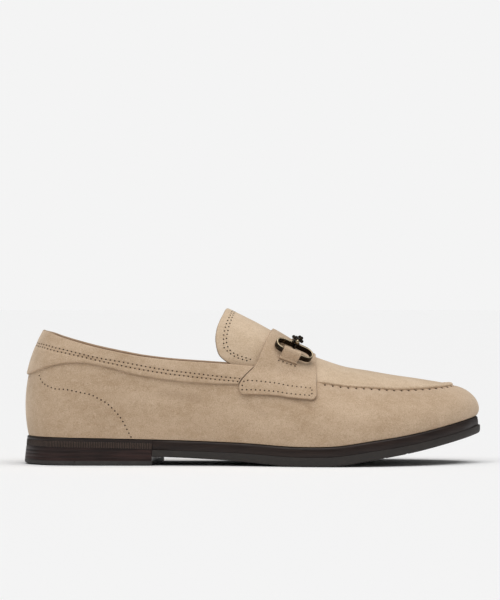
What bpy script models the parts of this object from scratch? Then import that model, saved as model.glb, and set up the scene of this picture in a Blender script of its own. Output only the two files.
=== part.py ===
"""Right bit loafer, men's size 42 to 43, in metres with +Z up.

+X points to the toe, -Y to the outer (lateral) side of the foot and +Y to the
inner (medial) side. The shoe stands on z = 0 with the middle of its length at
x = 0. A place along the shoe is a share, 0 at the back of the heel and 1 at the
tip of the toe. A place around the shoe is an angle: 0 at the back of the heel,
negative down the lateral side, positive down the medial side, and plus or minus
pi at the toe.
"""
import math

import bmesh
import bpy
from mathutils import Vector

# Driving sizes
LENGTH = 0.2985
BALL_WIDTH = 0.1045
HEEL_WIDTH = 0.066
HEEL_HEIGHT = 0.0058
TOE_SPRING = 0.0198
COLLAR_HEIGHT = 0.0685
SEAM_HEIGHT = 0.0396
INSTEP_RISE = 0.0297
COLLAR_WIDTH = 0.057
APRON_WIDTH = 0.062

# Sole layers and heel
OUTSOLE = 0.0060
MIDSOLE = 0.0062
SEAT = 0.0023
RAND = 0.0039
TOP_LIFT = 0.0030
BREAST_LATERAL = 0.0841
BREAST_MEDIAL = 0.0903
EDGE_STEP = 0.0009
FEATHER_STEP = 0.0016
HEEL_FLARE = 0.0014
GROOVE_PITCH = 0.0148
GROOVE_WIDTH = 0.0016
GROOVE_DEPTH = 0.0010
FIRST_GROOVE = 0.160
LAST_GROOVE = 0.250

# Leather
WALL = 0.0020
BAND = 0.0012
STRAP = 0.0020
STRAP_LIFT = 0.00045
TONGUE = 0.0030
INSOLE = 0.0030
LASTING_MARGIN = 0.0090
BULGE = 0.0040
LIP = 0.0013
TONGUE_DROP = 0.0050
TONGUE_BUTT = 0.0013

# Bit
RING_LENGTH = 0.0262
RING_WIDTH = 0.0155
RING_WIRE = 0.0026
RING_TALL = 0.0034
RING_LIFT = 0.0008
RING_TURN = math.radians(16)
RING_PITCH = math.radians(3)
RING_ALONG = 0.1733
RING_ACROSS = 0.44
BAR_BALL = 0.0056
BAR_THICK = 0.0026
BAR_EYE = 0.0011
BAR_LIFT = 0.0006
KEEPER_WIDTH = 0.0120
KEEPER_THICK = 0.0013
KEEPER_TAIL = 0.0050
KEEPER_SAG = 0.0009

# Clearance between pieces that touch
GAP = 0.0003

# The heel-back and toe-tip limits of the line where the wall ends
TOP_BACK = 0.0455 * LENGTH
TOP_FRONT = 0.946 * LENGTH
# Where the apron stops and the tongue goes on, under the strap
APRON_REAR = 0.166

# Outline of the sole. Half widths are shares of half the heel width or half the
# ball width, and tuck is how far the feather lies inside, in feather steps.
PLAN_COLUMNS = ("along", "heel_lateral", "ball_lateral", "heel_medial", "ball_medial", "tuck")
PLAN = (
    (0.000, 0.000, 0.000, 0.000, 0.000, 1.60),
    (0.010, 0.410, 0.000, 0.410, 0.000, 1.55),
    (0.030, 0.680, 0.000, 0.680, 0.000, 1.45),
    (0.060, 0.885, 0.000, 0.885, 0.000, 1.30),
    (0.110, 0.995, 0.000, 0.990, 0.000, 1.10),
    (0.160, 1.005, 0.000, 0.995, 0.000, 1.00),
    (0.220, 1.010, 0.000, 0.965, 0.000, 1.00),
    (0.300, 1.030, 0.000, 0.920, 0.000, 1.00),
    (0.380, 0.540, 0.340, 0.440, 0.280, 1.00),
    (0.460, 0.000, 0.745, 0.000, 0.590, 1.00),
    (0.540, 0.000, 0.865, 0.000, 0.695, 1.00),
    (0.610, 0.000, 0.970, 0.000, 0.835, 1.00),
    (0.670, 0.000, 1.015, 0.000, 0.940, 1.00),
    (0.720, 0.000, 0.995, 0.000, 0.985, 1.00),
    (0.780, 0.000, 0.925, 0.000, 0.985, 1.00),
    (0.840, 0.000, 0.800, 0.000, 0.930, 1.00),
    (0.900, 0.000, 0.600, 0.000, 0.820, 1.00),
    (0.945, 0.000, 0.375, 0.000, 0.700, 1.00),
    (0.975, 0.000, 0.170, 0.000, 0.560, 1.05),
    (0.993, 0.000, -0.040, 0.000, 0.400, 1.10),
    (1.000, 0.000, -0.210, 0.000, 0.210, 1.10),
)

# Side view of the sole. The underside is heel_height times heel plus
# toe_spring times spring, and the rubber is outsole times rubber.
SOLE_COLUMNS = ("along", "heel", "spring", "rubber")
SOLE_LINE = (
    (0.00, 1.30, 0.000, 0.72),
    (0.18, 1.12, 0.000, 0.72),
    (0.28, 1.02, 0.000, 0.72),
    (0.40, 0.77, 0.000, 0.78),
    (0.48, 0.52, 0.000, 0.88),
    (0.53, 0.24, 0.000, 0.97),
    (0.57, 0.00, 0.000, 1.00),
    (0.68, 0.00, 0.000, 1.00),
    (0.74, 0.00, 0.180, 0.96),
    (0.80, 0.00, 0.310, 0.90),
    (0.86, 0.00, 0.480, 0.86),
    (0.92, 0.00, 0.690, 0.84),
    (0.96, 0.00, 0.850, 0.84),
    (1.00, 0.00, 1.000, 0.84),
)

# The line where the wall ends: the collar as far as the strap, then the apron
# seam. Widths and heights above the feather are shares of the named sizes.
TOP_COLUMNS = ("share", "collar_width", "apron_width", "collar_height", "seam_height", "crown", "arch")
TOP_LINE = (
    (0.000, 0.000, 0.000, 1.000, 0.000, 1.50, 0.50),
    (0.015, 0.440, 0.000, 0.980, 0.000, 1.50, 0.50),
    (0.046, 0.715, 0.000, 0.936, 0.000, 1.50, 0.50),
    (0.082, 0.870, 0.000, 0.895, 0.000, 1.50, 0.50),
    (0.118, 0.950, 0.000, 0.860, 0.000, 1.50, 0.50),
    (0.190, 1.000, 0.000, 0.805, 0.000, 1.50, 0.50),
    (0.241, 1.005, 0.000, 0.773, 0.000, 1.48, 0.50),
    (0.313, 0.995, 0.000, 0.748, 0.000, 1.45, 0.50),
    (0.387, 0.980, 0.000, 0.737, 0.000, 1.39, 0.50),
    (0.435, 0.980, 0.000, 0.731, 0.000, 1.246, 0.50),
    (0.503, 1.000, 0.000, 0.722, 0.000, 1.000, 0.52),
    (0.560, 0.000, 0.950, 0.000, 1.205, 0.820, 0.60),
    (0.591, 0.000, 0.965, 0.000, 1.145, 0.747, 0.68),
    (0.636, 0.000, 0.985, 0.000, 1.070, 0.570, 0.84),
    (0.682, 0.000, 1.000, 0.000, 1.010, 0.462, 0.98),
    (0.737, 0.000, 0.985, 0.000, 0.920, 0.356, 1.00),
    (0.791, 0.000, 0.930, 0.000, 0.843, 0.300, 1.00),
    (0.862, 0.000, 0.810, 0.000, 0.722, 0.236, 1.00),
    (0.921, 0.000, 0.660, 0.000, 0.628, 0.160, 1.00),
    (0.949, 0.000, 0.560, 0.000, 0.580, 0.118, 1.00),
    (0.980, 0.000, 0.380, 0.000, 0.528, 0.064, 1.00),
    (0.994, 0.000, 0.215, 0.000, 0.507, 0.028, 1.00),
    (1.000, 0.000, 0.000, 0.000, 0.497, 0.000, 1.00),
)

# Rib of the wall, a Bezier curve from the feather to the top line. Bulge and
# shoulder are how far its handles stand out, low and high how far up they are.
RIB_COLUMNS = ("share", "bulge", "low", "shoulder", "high")
RIB = (
    (0.00, 1.10, 0.29, 0.90, 0.66),
    (0.20, 1.00, 0.30, 0.90, 0.68),
    (0.40, 0.80, 0.33, 0.77, 0.67),
    (0.55, 0.80, 0.35, 0.60, 0.72),
    (0.68, 1.00, 0.36, 0.57, 0.87),
    (0.85, 1.00, 0.33, 0.60, 0.92),
    (1.00, 0.95, 0.32, 0.68, 0.96),
)

# Middle line of the top line in plan, in shares of half the ball width
KEEL_COLUMNS = ("share", "offset")
KEEL = (
    (0.00, 0.000),
    (0.20, -0.010),
    (0.40, -0.035),
    (0.55, -0.025),
    (0.65, 0.000),
    (0.75, 0.050),
    (0.85, 0.105),
    (0.93, 0.160),
    (1.00, 0.200),
)

# Lower edge of the collar band, as a share of the wall's height
BAND_COLUMNS = ("share", "height")
BAND_EDGE = (
    (0.000, 0.575),
    (0.012, 0.610),
    (0.037, 0.690),
    (0.060, 0.750),
    (0.083, 0.784),
    (0.120, 0.808),
    (0.155, 0.803),
    (0.220, 0.772),
    (0.341, 0.737),
    (0.387, 0.731),
    (0.500, 0.752),
)

# Saddle strap from its foot (0) to the top line (1) and the ridge (2)
STRAP_COLUMNS = ("girth", "rear", "front")
STRAP_EDGE = (
    (0.00, 0.4860, 0.6290),
    (0.08, 0.4750, 0.6410),
    (0.20, 0.4730, 0.6450),
    (1.00, 0.5110, 0.6540),
    (1.40, 0.5340, 0.6550),
    (1.75, 0.5520, 0.6560),
    (1.92, 0.5570, 0.6560),
    (2.00, 0.5575, 0.6560),
)
STRAP_FOOT_REAR = 0.620
STRAP_FOOT_FRONT = 0.695

# Free end of the tongue, from its middle (0) to its side (1)
TONGUE_COLUMNS = ("across", "share")
TONGUE_END = (
    (0.00, 0.443),
    (0.30, 0.435),
    (0.60, 0.418),
    (0.80, 0.413),
    (0.93, 0.421),
    (1.00, 0.446),
)

# How finely the surfaces are divided
STATIONS = 44
WALL_STEPS = (0.0, 0.05, 0.16, 0.30, 0.45, 0.60, 0.74, 0.86, 0.955, 0.985)
INNER_STEPS = (0.95, 0.80, 0.60, 0.38, 0.18, 0.05)
ARCH_STEPS = (-0.975, -0.95, -0.78, -0.58, -0.38, -0.19, 0.0, 0.19, 0.38, 0.58, 0.78, 0.95, 0.975)
LIP_AT = 0.97
NUDGE = 0.0005
# Edges sharper than this stay sharp in the shading
CREASE = math.radians(35)


class Curve:
    """Smooth line through the rows of a table that never overshoots them."""

    def __init__(self, places, values):
        self.places = list(places)
        self.values = list(values)
        runs = [b - a for a, b in zip(self.places, self.places[1:])]
        rises = [(b - a) / run for a, b, run in zip(self.values, self.values[1:], runs)]
        self.slopes = [rises[0]]
        for left, right in zip(rises, rises[1:]):
            same_way = left * right > 0.0
            self.slopes.append(2.0 * left * right / (left + right) if same_way else 0.0)
        self.slopes.append(rises[-1])

    def __call__(self, place):
        place = min(max(place, self.places[0]), self.places[-1])
        low = 0
        while low < len(self.places) - 2 and place > self.places[low + 1]:
            low += 1
        run = self.places[low + 1] - self.places[low]
        t = (place - self.places[low]) / run
        return (
            self.values[low] * (1 + 2 * t) * (1 - t) ** 2
            + self.slopes[low] * run * t * (1 - t) ** 2
            + self.values[low + 1] * t * t * (3 - 2 * t)
            + self.slopes[low + 1] * run * t * t * (t - 1)
        )


def turn_of(share):
    """Angle from the heel back that a share of the way to the toe stands for."""
    return math.acos(1.0 - 2.0 * min(max(share, 0.0), 1.0))


def share_of(turn):
    return (1.0 - math.cos(turn)) / 2.0


def turn_at(distance):
    """Angle of the top line at a distance from the back of the heel."""
    return turn_of((distance - TOP_BACK) / (TOP_FRONT - TOP_BACK))


def column_of(table, columns, *weights):
    """Curve of a table's named columns, each times its size and all added."""
    places = [row[0] for row in table]
    values = [sum(row[columns.index(name)] * size for name, size in weights) for row in table]
    return Curve(places, values)


def turned_column(table, columns, *weights):
    """The same, laid out by angle, which keeps the ends at heel and toe round."""
    flat = column_of(table, columns, *weights)
    return Curve([turn_of(place) for place in flat.places], flat.values)


LATERAL_HALF = turned_column(
    PLAN, PLAN_COLUMNS, ("heel_lateral", HEEL_WIDTH / 2), ("ball_lateral", BALL_WIDTH / 2)
)
MEDIAL_HALF = turned_column(
    PLAN, PLAN_COLUMNS, ("heel_medial", HEEL_WIDTH / 2), ("ball_medial", BALL_WIDTH / 2)
)
TUCK = turned_column(PLAN, PLAN_COLUMNS, ("tuck", FEATHER_STEP))
UNDERSIDE = column_of(SOLE_LINE, SOLE_COLUMNS, ("heel", HEEL_HEIGHT), ("spring", TOE_SPRING))
RUBBER = column_of(SOLE_LINE, SOLE_COLUMNS, ("rubber", OUTSOLE))
TOP_HALF = turned_column(
    TOP_LINE, TOP_COLUMNS, ("collar_width", COLLAR_WIDTH / 2), ("apron_width", APRON_WIDTH / 2)
)
TOP_HEIGHT = turned_column(
    TOP_LINE, TOP_COLUMNS, ("collar_height", COLLAR_HEIGHT), ("seam_height", SEAM_HEIGHT)
)
CROWN = turned_column(TOP_LINE, TOP_COLUMNS, ("crown", INSTEP_RISE))
ARCH = turned_column(TOP_LINE, TOP_COLUMNS, ("arch", 1.0))
RIB_BULGE = column_of(RIB, RIB_COLUMNS, ("bulge", BULGE))
RIB_LOW = column_of(RIB, RIB_COLUMNS, ("low", 1.0))
RIB_SHOULDER = column_of(RIB, RIB_COLUMNS, ("shoulder", 1.0))
RIB_HIGH = column_of(RIB, RIB_COLUMNS, ("high", 1.0))
KEEL_LINE = column_of(KEEL, KEEL_COLUMNS, ("offset", BALL_WIDTH / 2))
BAND_LOW = column_of(BAND_EDGE, BAND_COLUMNS, ("height", 1.0))
STRAP_REAR = column_of(STRAP_EDGE, STRAP_COLUMNS, ("rear", 1.0))
STRAP_FRONT = column_of(STRAP_EDGE, STRAP_COLUMNS, ("front", 1.0))
TONGUE_REAR = column_of(TONGUE_END, TONGUE_COLUMNS, ("share", 1.0))

# Half the difference of the two sides, which puts the box's middle at y = 0
SIDE_SHIFT = (max(LATERAL_HALF.values) - max(MEDIAL_HALF.values)) / 2


# Sole surfaces
def wrap(angle):
    """The same angle, brought back between minus pi and pi."""
    return (angle + math.pi) % (2 * math.pi) - math.pi


def outline(angle):
    """Point of the sole's outline in plan, with its height left at zero."""
    angle = wrap(angle)
    turn = abs(angle)
    half = -LATERAL_HALF(turn) if angle < 0 else MEDIAL_HALF(turn)
    return Vector((LENGTH * (share_of(turn) - 0.5), half + SIDE_SHIFT, 0.0))


def outward(angle):
    """Direction in plan that points straight out of the sole's edge."""
    along = outline(angle + NUDGE) - outline(angle - NUDGE)
    return Vector((-along.y, along.x, 0.0)).normalized()


def inset(angle, depth):
    return outline(angle) - outward(angle) * depth


def along_of(x):
    return x / LENGTH + 0.5


def underside(x):
    return UNDERSIDE(along_of(x))


def layer_line(x):
    """Height of the joint between the rubber and the midsole."""
    return underside(x) + RUBBER(along_of(x))


def feather_height(x):
    return layer_line(x) + GAP + MIDSOLE


# Wall of the upper
def feather(angle):
    point = inset(angle, TUCK(abs(angle)))
    point.z = feather_height(point.x) + GAP
    return point


def rim(angle):
    """Point of the top line: the collar's edge, or the apron seam."""
    angle = wrap(angle)
    turn = abs(angle)
    share = share_of(turn)
    side = -1.0 if angle < 0 else 1.0
    x = TOP_BACK + (TOP_FRONT - TOP_BACK) * share - LENGTH / 2
    y = KEEL_LINE(share) + side * TOP_HALF(turn) + SIDE_SHIFT
    return Vector((x, y, feather(angle).z + TOP_HEIGHT(turn)))


def wall_base(angle, v):
    angle = wrap(angle)
    share = share_of(abs(angle))
    foot = feather(angle)
    top = rim(angle)
    out = outward(angle)
    height = top.z - foot.z
    width = max((foot - top).dot(out), 0.0) + BULGE
    low = foot + out * RIB_BULGE(share) + Vector((0, 0, height * RIB_LOW(share)))
    high = top + out * width * RIB_SHOULDER(share)
    high.z = foot.z + height * RIB_HIGH(share)
    u = 1.0 - v
    return foot * u**3 + low * (3 * v * u * u) + high * (3 * v * v * u) + top * v**3


def wall_normal(angle, v):
    v = min(max(v, NUDGE), 1.0 - NUDGE)
    across = wall_base(angle, v + NUDGE) - wall_base(angle, v - NUDGE)
    along = wall_base(angle + NUDGE, v) - wall_base(angle - NUDGE, v)
    return across.cross(along).normalized()


def wall(angle, v, lift):
    return wall_base(angle, v) + wall_normal(angle, v) * lift


def height_share(angle, share):
    """How far along the rib a share of the wall's height is reached."""
    foot = wall_base(angle, 0.0).z
    height = wall_base(angle, 1.0).z - foot
    low, high = 0.0, 1.0
    for _ in range(24):
        middle = (low + high) / 2
        if wall_base(angle, middle).z - foot < height * share:
            low = middle
        else:
            high = middle
    return low


# Apron and tongue
def arch_base(turn, c, narrower=0.0, drop=0.0):
    """Point over the instep, c from -1 at the lateral seam to 1 at the medial."""
    lateral, medial = rim(-turn), rim(turn)
    q = math.sin(c * math.pi / 2)
    half = (medial.y - lateral.y) / 2 - narrower
    middle = (medial.y + lateral.y) / 2
    edge = lateral.z + (medial.z - lateral.z) * (q + 1) / 2 - drop
    rise = (CROWN(turn) + drop) * max(1.0 - q * q, 0.0) ** ARCH(turn)
    return Vector((lateral.x, middle + half * q, edge + rise))


def arch_normal(turn, c, narrower=0.0, drop=0.0):
    c = min(max(c, -0.97), 0.97)
    turn = min(turn, math.pi - 0.02)
    across = arch_base(turn, c + NUDGE, narrower, drop) - arch_base(turn, c - NUDGE, narrower, drop)
    along = arch_base(turn + NUDGE, c, narrower, drop) - arch_base(turn - NUDGE, c, narrower, drop)
    return along.cross(across).normalized()


def arch(turn, c, lift, narrower=0.0, drop=0.0):
    return arch_base(turn, c, narrower, drop) + arch_normal(turn, c, narrower, drop) * lift


def seam_normal(angle):
    """Direction midway between the wall and the apron where they meet."""
    side = -1.0 if angle < 0 else 1.0
    both = wall_normal(angle, 0.99) + arch_normal(abs(angle), 0.96 * side)
    return both.normalized()


def top_edge(angle, lift):
    """Top line, moved off the surface, the same for wall, apron and strap."""
    angle = wrap(angle)
    if abs(angle) < APRON_TURN - NUDGE:
        return wall(angle, 1.0, lift)
    return rim(angle) + seam_normal(angle) * lift


def raised(turn):
    """Height of the seam's lip, which starts in front of the strap."""
    start = turn_of(STRAP_FRONT(1.0) + 0.010)
    end = turn_of(STRAP_FRONT(1.0) + 0.030)
    t = min(max((turn - start) / (end - start), 0.0), 1.0)
    return LIP * t * t * (3 - 2 * t)


APRON_TURN = turn_at(APRON_REAR)


# Meshes
def grid(bm, rows):
    """Faces between rows of points that all have the same count."""
    made = [[bm.verts.new(point) for point in row] for row in rows]
    for upper_row, lower_row in zip(made, made[1:]):
        for k in range(len(upper_row) - 1):
            bm.faces.new((upper_row[k], upper_row[k + 1], lower_row[k + 1], lower_row[k]))


def close(bm):
    bmesh.ops.remove_doubles(bm, verts=bm.verts, dist=1e-6)
    bmesh.ops.dissolve_degenerate(bm, edges=bm.edges, dist=1e-7)
    bmesh.ops.recalc_face_normals(bm, faces=bm.faces)


def finish(name, bm, material):
    """Named object from a bmesh, shaded smooth but for its creases."""
    mesh = bpy.data.meshes.new(name)
    bm.to_mesh(mesh)
    bm.free()
    mesh.materials.append(material)
    mesh.shade_smooth()
    mesh.set_sharp_from_angle(angle=CREASE)
    made = bpy.data.objects.new(name, mesh)
    bpy.context.collection.objects.link(made)
    return made


def sheet(name, outer, inner, material):
    """Closed sheet between two grids of points of one shape."""
    bm = bmesh.new()
    grid(bm, outer)
    grid(bm, inner)
    grid(bm, [outer[0], inner[0]])
    grid(bm, [outer[-1], inner[-1]])
    grid(bm, [[row[0] for row in outer], [row[0] for row in inner]])
    grid(bm, [[row[-1] for row in outer], [row[-1] for row in inner]])
    close(bm)
    return finish(name, bm, material)


def material(name, colour, roughness, metallic=0.0):
    made = bpy.data.materials.new(name)
    made.use_nodes = True
    shader = made.node_tree.nodes["Principled BSDF"]
    shader.inputs["Base Color"].default_value = (*colour, 1.0)
    shader.inputs["Roughness"].default_value = roughness
    shader.inputs["Metallic"].default_value = metallic
    made.diffuse_color = (*colour, 1.0)
    return made


def stations(first=0.0, last=1.0):
    """Shares of the length, closer together near the round heel and toe."""
    shares = [share_of(math.pi * k / STATIONS) for k in range(STATIONS + 1)]
    inside = [share for share in shares if first + 0.0012 < share < last - 0.0012]
    return [first, *inside, last]


# Sole pieces
def plate(name, rows, low, high, profile, material, cut=None):
    """Slab of the sole between two heights.

    Rows are pairs of angles, one on each side. The profile lists how far up the
    side a level lies, as a share, and how far it is inside the outline. The cut
    gives the depth of the grooves across the underside, at a row's own place.
    """
    bm = bmesh.new()
    levels = []
    for share, depth in profile:
        level = []
        for lateral, medial in rows:
            pair = []
            for angle in (lateral, medial):
                point = inset(angle, depth)
                point.z = low(point.x) + (high(point.x) - low(point.x)) * share
                if cut and share == 0.0:
                    point.z += cut(outline(angle).x)
                pair.append(point)
            level.append(pair)
        levels.append(level)
    grid(bm, levels[0])
    grid(bm, levels[-1])
    for lower, upper in zip(levels, levels[1:]):
        grid(bm, [[pair[0] for pair in lower], [pair[0] for pair in upper]])
        grid(bm, [[pair[1] for pair in lower], [pair[1] for pair in upper]])
        grid(bm, [lower[0], upper[0]])
        grid(bm, [lower[-1], upper[-1]])
    close(bm)
    return finish(name, bm, material)


def paired(shares):
    return [(-turn_of(share), turn_of(share)) for share in shares]


def heel_rows():
    """Rows of the heel, which ends at a breast that runs askew."""
    lateral = BREAST_LATERAL / LENGTH
    medial = BREAST_MEDIAL / LENGTH
    steps = [share / lateral for share in stations(0.0, lateral)]
    return [(-turn_of(step * lateral), turn_of(step * medial)) for step in steps]


def groove_places():
    count = int((LAST_GROOVE - FIRST_GROOVE) / GROOVE_PITCH + 0.001) + 1
    return [FIRST_GROOVE + k * GROOVE_PITCH for k in range(count)]


def groove_depth(x):
    """Depth of the flat-bottomed grooves at a place along the underside."""
    nearest = min(abs(x + LENGTH / 2 - place) for place in groove_places())
    return GROOVE_DEPTH if nearest < GROOVE_WIDTH * 0.45 else 0.0


def with_grooves(shares):
    """The same shares, with rows at both lips and both feet of each groove."""
    places = groove_places()
    clear = [s for s in shares if all(abs(s * LENGTH - place) > GROOVE_WIDTH for place in places)]
    for place in places:
        for offset in (-0.5, -0.4, 0.4, 0.5):
            clear.append((place + offset * GROOVE_WIDTH) / LENGTH)
    return sorted(clear)


def build_sole(finishes):
    breast = (BREAST_LATERAL + GAP) / LENGTH
    askew = (BREAST_MEDIAL - BREAST_LATERAL) / LENGTH
    edge = ((0.0, EDGE_STEP), (0.15, 0.0), (0.88, 0.0), (1.0, EDGE_STEP / 2))
    shares = with_grooves(stations(breast, 1.0))
    fade = 0.2 * (1.0 - breast)
    rows = [
        (-turn_of(s), turn_of(s + askew * max(0.0, 1.0 - (s - breast) / fade)))
        for s in shares
    ]
    plate("outsole", rows, underside, layer_line, edge, finishes["rubber"], groove_depth)

    step = BREAST_MEDIAL + GAP
    split = step / LENGTH
    front = [s for s in stations() if s > split + 2.0 * GAP / LENGTH]
    back = [s for s in stations() if s < split - 2.0 * GAP / LENGTH]

    def midsole_low(x):
        return feather_height(x) - (SEAT if x + LENGTH / 2 < step else MIDSOLE)

    rows = paired([*back, split - GAP / LENGTH, split + GAP / LENGTH, *front])
    body = ((0.0, EDGE_STEP * 1.2), (0.12, EDGE_STEP), (0.90, EDGE_STEP * 1.15), (1.0, EDGE_STEP * 1.6))
    plate("midsole", rows, midsole_low, feather_height, body, finishes["edge"])


def build_heel(finishes):
    rows = heel_rows()

    def floor(x):
        return 0.0

    def lift_high(x):
        return TOP_LIFT

    def stack_low(x):
        return TOP_LIFT + GAP

    def rand_high(x):
        return feather_height(x) - SEAT - GAP

    def rand_low(x):
        return rand_high(x) - RAND

    def stack_high(x):
        return rand_low(x) - GAP

    rand_edge = ((0.0, EDGE_STEP * 0.8), (0.14, EDGE_STEP * 0.4), (0.86, EDGE_STEP * 0.4), (1.0, EDGE_STEP * 0.8))
    stack_edge = ((0.0, EDGE_STEP * 0.2), (0.5, HEEL_FLARE * 0.6), (1.0, HEEL_FLARE))
    lift_edge = ((0.0, EDGE_STEP * 0.5), (0.25, 0.0), (1.0, EDGE_STEP * 0.1))
    plate("heel_rand", rows, rand_low, rand_high, rand_edge, finishes["edge"])
    plate("heel_stack", rows, stack_low, stack_high, stack_edge, finishes["edge"])
    plate("heel_top_lift", rows, floor, lift_high, lift_edge, finishes["rubber"])


def build_insole(finishes):
    def low(x):
        return feather_height(x) + GAP * 2 + WALL

    def high(x):
        return low(x) + INSOLE

    depth = FEATHER_STEP * 1.7 + WALL + GAP * 2
    plate("insole", paired(stations()), low, high, ((0.0, depth), (1.0, depth)), finishes["lining"])


# Upper
def lasting_edge(angle, rise):
    """Inner end of the margin that is turned under the foot."""
    point = inset(angle, TUCK(abs(angle)) + LASTING_MARGIN)
    point.z = feather_height(point.x) + GAP + rise
    return point


def inner_corner(angle):
    point = inset(angle, TUCK(abs(angle)) + WALL)
    point.z = feather_height(point.x) + GAP + WALL
    return point


def build_upper(finishes):
    shares = sorted({*stations(), share_of(APRON_TURN)})
    turns = [turn_of(share) for share in shares]
    around = [-turn for turn in reversed(turns[1:])] + turns[:-1]
    bm = bmesh.new()
    rows = []
    for angle in around:
        lip = raised(abs(angle))
        outer = []
        for v in WALL_STEPS:
            outer.append(wall(angle, v, lip if v > LIP_AT else 0.0))
        inner = [wall(angle, v, -WALL) for v in INNER_STEPS]
        rows.append(
            [top_edge(angle, -WALL), *inner, inner_corner(angle), lasting_edge(angle, WALL),
             lasting_edge(angle, 0.0), *outer, top_edge(angle, lip)]
        )
    grid(bm, [*rows, rows[0]])
    back = [angle for angle in around if abs(angle) < APRON_TURN + NUDGE]
    grid(bm, [[top_edge(a, 0.0) for a in back], [top_edge(a, -WALL) for a in back]])
    front = [turn for turn in turns if turn > APRON_TURN - NUDGE]
    outer_rows, inner_rows = [], []
    for turn in front:
        lip = raised(turn)
        row = [top_edge(-turn, lip)]
        row += [arch(turn, c, lip if abs(c) > LIP_AT else 0.0) for c in ARCH_STEPS]
        outer_rows.append([*row, top_edge(turn, lip)])
        row = [arch(turn, c, -WALL) for c in ARCH_STEPS]
        inner_rows.append([top_edge(-turn, -WALL), *row, top_edge(turn, -WALL)])
    tip_out = top_edge(math.pi, raised(math.pi))
    tip_in = top_edge(math.pi, -WALL)
    outer_rows[-1] = [tip_out for _ in outer_rows[-1]]
    inner_rows[-1] = [tip_in for _ in inner_rows[-1]]
    grid(bm, outer_rows)
    grid(bm, inner_rows)
    grid(bm, [outer_rows[0], inner_rows[0]])
    close(bm)
    return finish("upper", bm, finishes["suede"])


def build_band(finishes):
    steps = (0.0, 0.35, 0.7, 1.0)
    shares = stations(0.0, 0.47)
    rows_out, rows_in = [], []
    foot = height_share(turn_of(STRAP_REAR(0.2)), STRAP_FOOT_REAR)
    clear = 2.5 * GAP / LENGTH
    signed = [-share for share in reversed(shares[1:])] + shares
    for place in signed:
        share_along = abs(place) / shares[-1]
        side = -1.0 if place < 0 else 1.0
        row_out, row_in = [], []
        for step in steps:
            start = height_share(turn_of(shares[-1]), BAND_LOW(shares[-1]))
            v_end = start + (1.0 - start) * step
            end = STRAP_REAR((v_end - foot) / (1.0 - foot)) - clear
            share = end * share_along
            turn = turn_of(share)
            low = height_share(turn, BAND_LOW(share))
            v = low + (0.998 - low) * step
            row_out.append(wall(side * turn, v, GAP + BAND))
            row_in.append(wall(side * turn, v, GAP))
        rows_out.append(row_out)
        rows_in.append(row_in)
    return sheet("collar_band", rows_out, rows_in, finishes["suede"])


def strap_point(side, girth, across, lift):
    """Point on the saddle strap, girth 0 at its foot, 1 at the top line, 2 at the ridge."""
    share = STRAP_REAR(girth) + (STRAP_FRONT(girth) - STRAP_REAR(girth)) * across
    turn = turn_of(share)
    if girth < 1.0:
        foot = STRAP_FOOT_REAR + (STRAP_FOOT_FRONT - STRAP_FOOT_REAR) * across
        low = height_share(side * turn, foot)
        return wall(side * turn, low + (1.0 - low) * girth, lift)
    if girth == 1.0:
        return rim(side * turn) + seam_normal(side * turn) * lift
    return arch(turn, side * (2.0 - girth), lift)


def build_strap(finishes):
    climb = (0.0, 0.08, 0.2, 0.4, 0.6, 0.8, 1.0, 1.025, 1.05, 1.12, 1.22, 1.32, 1.42, 1.52, 1.62, 1.81)
    ladder = [(-1.0, girth) for girth in climb] + [(1.0, 2.0)]
    ladder += [(1.0, girth) for girth in reversed(climb)]
    across = (0.0, 0.15, 0.35, 0.55, 0.75, 0.9, 1.0)
    outer = [[strap_point(s, g, a, STRAP_LIFT + STRAP) for a in across] for s, g in ladder]
    inner = [[strap_point(s, g, a, STRAP_LIFT) for a in across] for s, g in ladder]
    return sheet("saddle_strap", outer, inner, finishes["suede"])


def build_tongue(finishes):
    span = TOP_FRONT - TOP_BACK
    front = (APRON_REAR - TOP_BACK - TONGUE_BUTT) / span
    narrower = WALL + GAP * 2
    steps = (0.0, 0.25, 0.5, 0.75, 0.92, 1.0)
    half_across = (0.12, 0.26, 0.40, 0.54, 0.68, 0.80, 0.90, 0.96, 1.0)
    across = [*(-c for c in reversed(half_across)), 0.0, *half_across]
    outer, inner = [], []
    for step in steps:
        row_out, row_in = [], []
        for c in across:
            share = front + (TONGUE_REAR(abs(c)) - front) * step
            row_out.append(arch(turn_of(share), c, 0.0, narrower, TONGUE_DROP))
            row_in.append(arch(turn_of(share), c, -TONGUE, narrower, TONGUE_DROP))
        outer.append(row_out)
        inner.append(row_in)
    return sheet("tongue", outer, inner, finishes["suede"])


# Bit
def bit_seat(side):
    """Origin and directions of the strap's surface where a ring lies."""
    turn = turn_at(RING_ALONG)
    c = side * RING_ACROSS
    lift = STRAP_LIFT + STRAP
    origin = arch(turn, c, lift)
    normal = arch_normal(turn, c)
    along = (arch(turn + NUDGE, c, lift) - arch(turn - NUDGE, c, lift)).normalized()
    out = normal.cross(along) * side
    out = (out - normal * out.dot(normal)).normalized()
    turned = along * math.cos(RING_TURN) - out * math.sin(RING_TURN)
    out = out * math.cos(RING_TURN) + along * math.sin(RING_TURN)
    return origin, turned, out, normal


def ring_frame(side):
    """Middle and directions of a ring, whose front end is tipped up off the strap."""
    origin, along, out, normal = bit_seat(side)
    centre = origin + normal * (RING_TALL / 2 + RING_LIFT)
    tipped = along * math.cos(RING_PITCH) + normal * math.sin(RING_PITCH)
    up = normal * math.cos(RING_PITCH) - along * math.sin(RING_PITCH)
    return centre, tipped, out, up


def tube(bm, path, first_radius, second_radius, sides=8):
    """Closed tube around a closed path, each point given with its two normals."""
    rows = []
    for point, first, second in path:
        row = []
        for k in range(sides + 1):
            angle = 2 * math.pi * (k % sides) / sides
            row.append(point + first * math.cos(angle) * first_radius + second * math.sin(angle) * second_radius)
        rows.append(row)
    rows.append(rows[0])
    grid(bm, rows)


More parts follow.
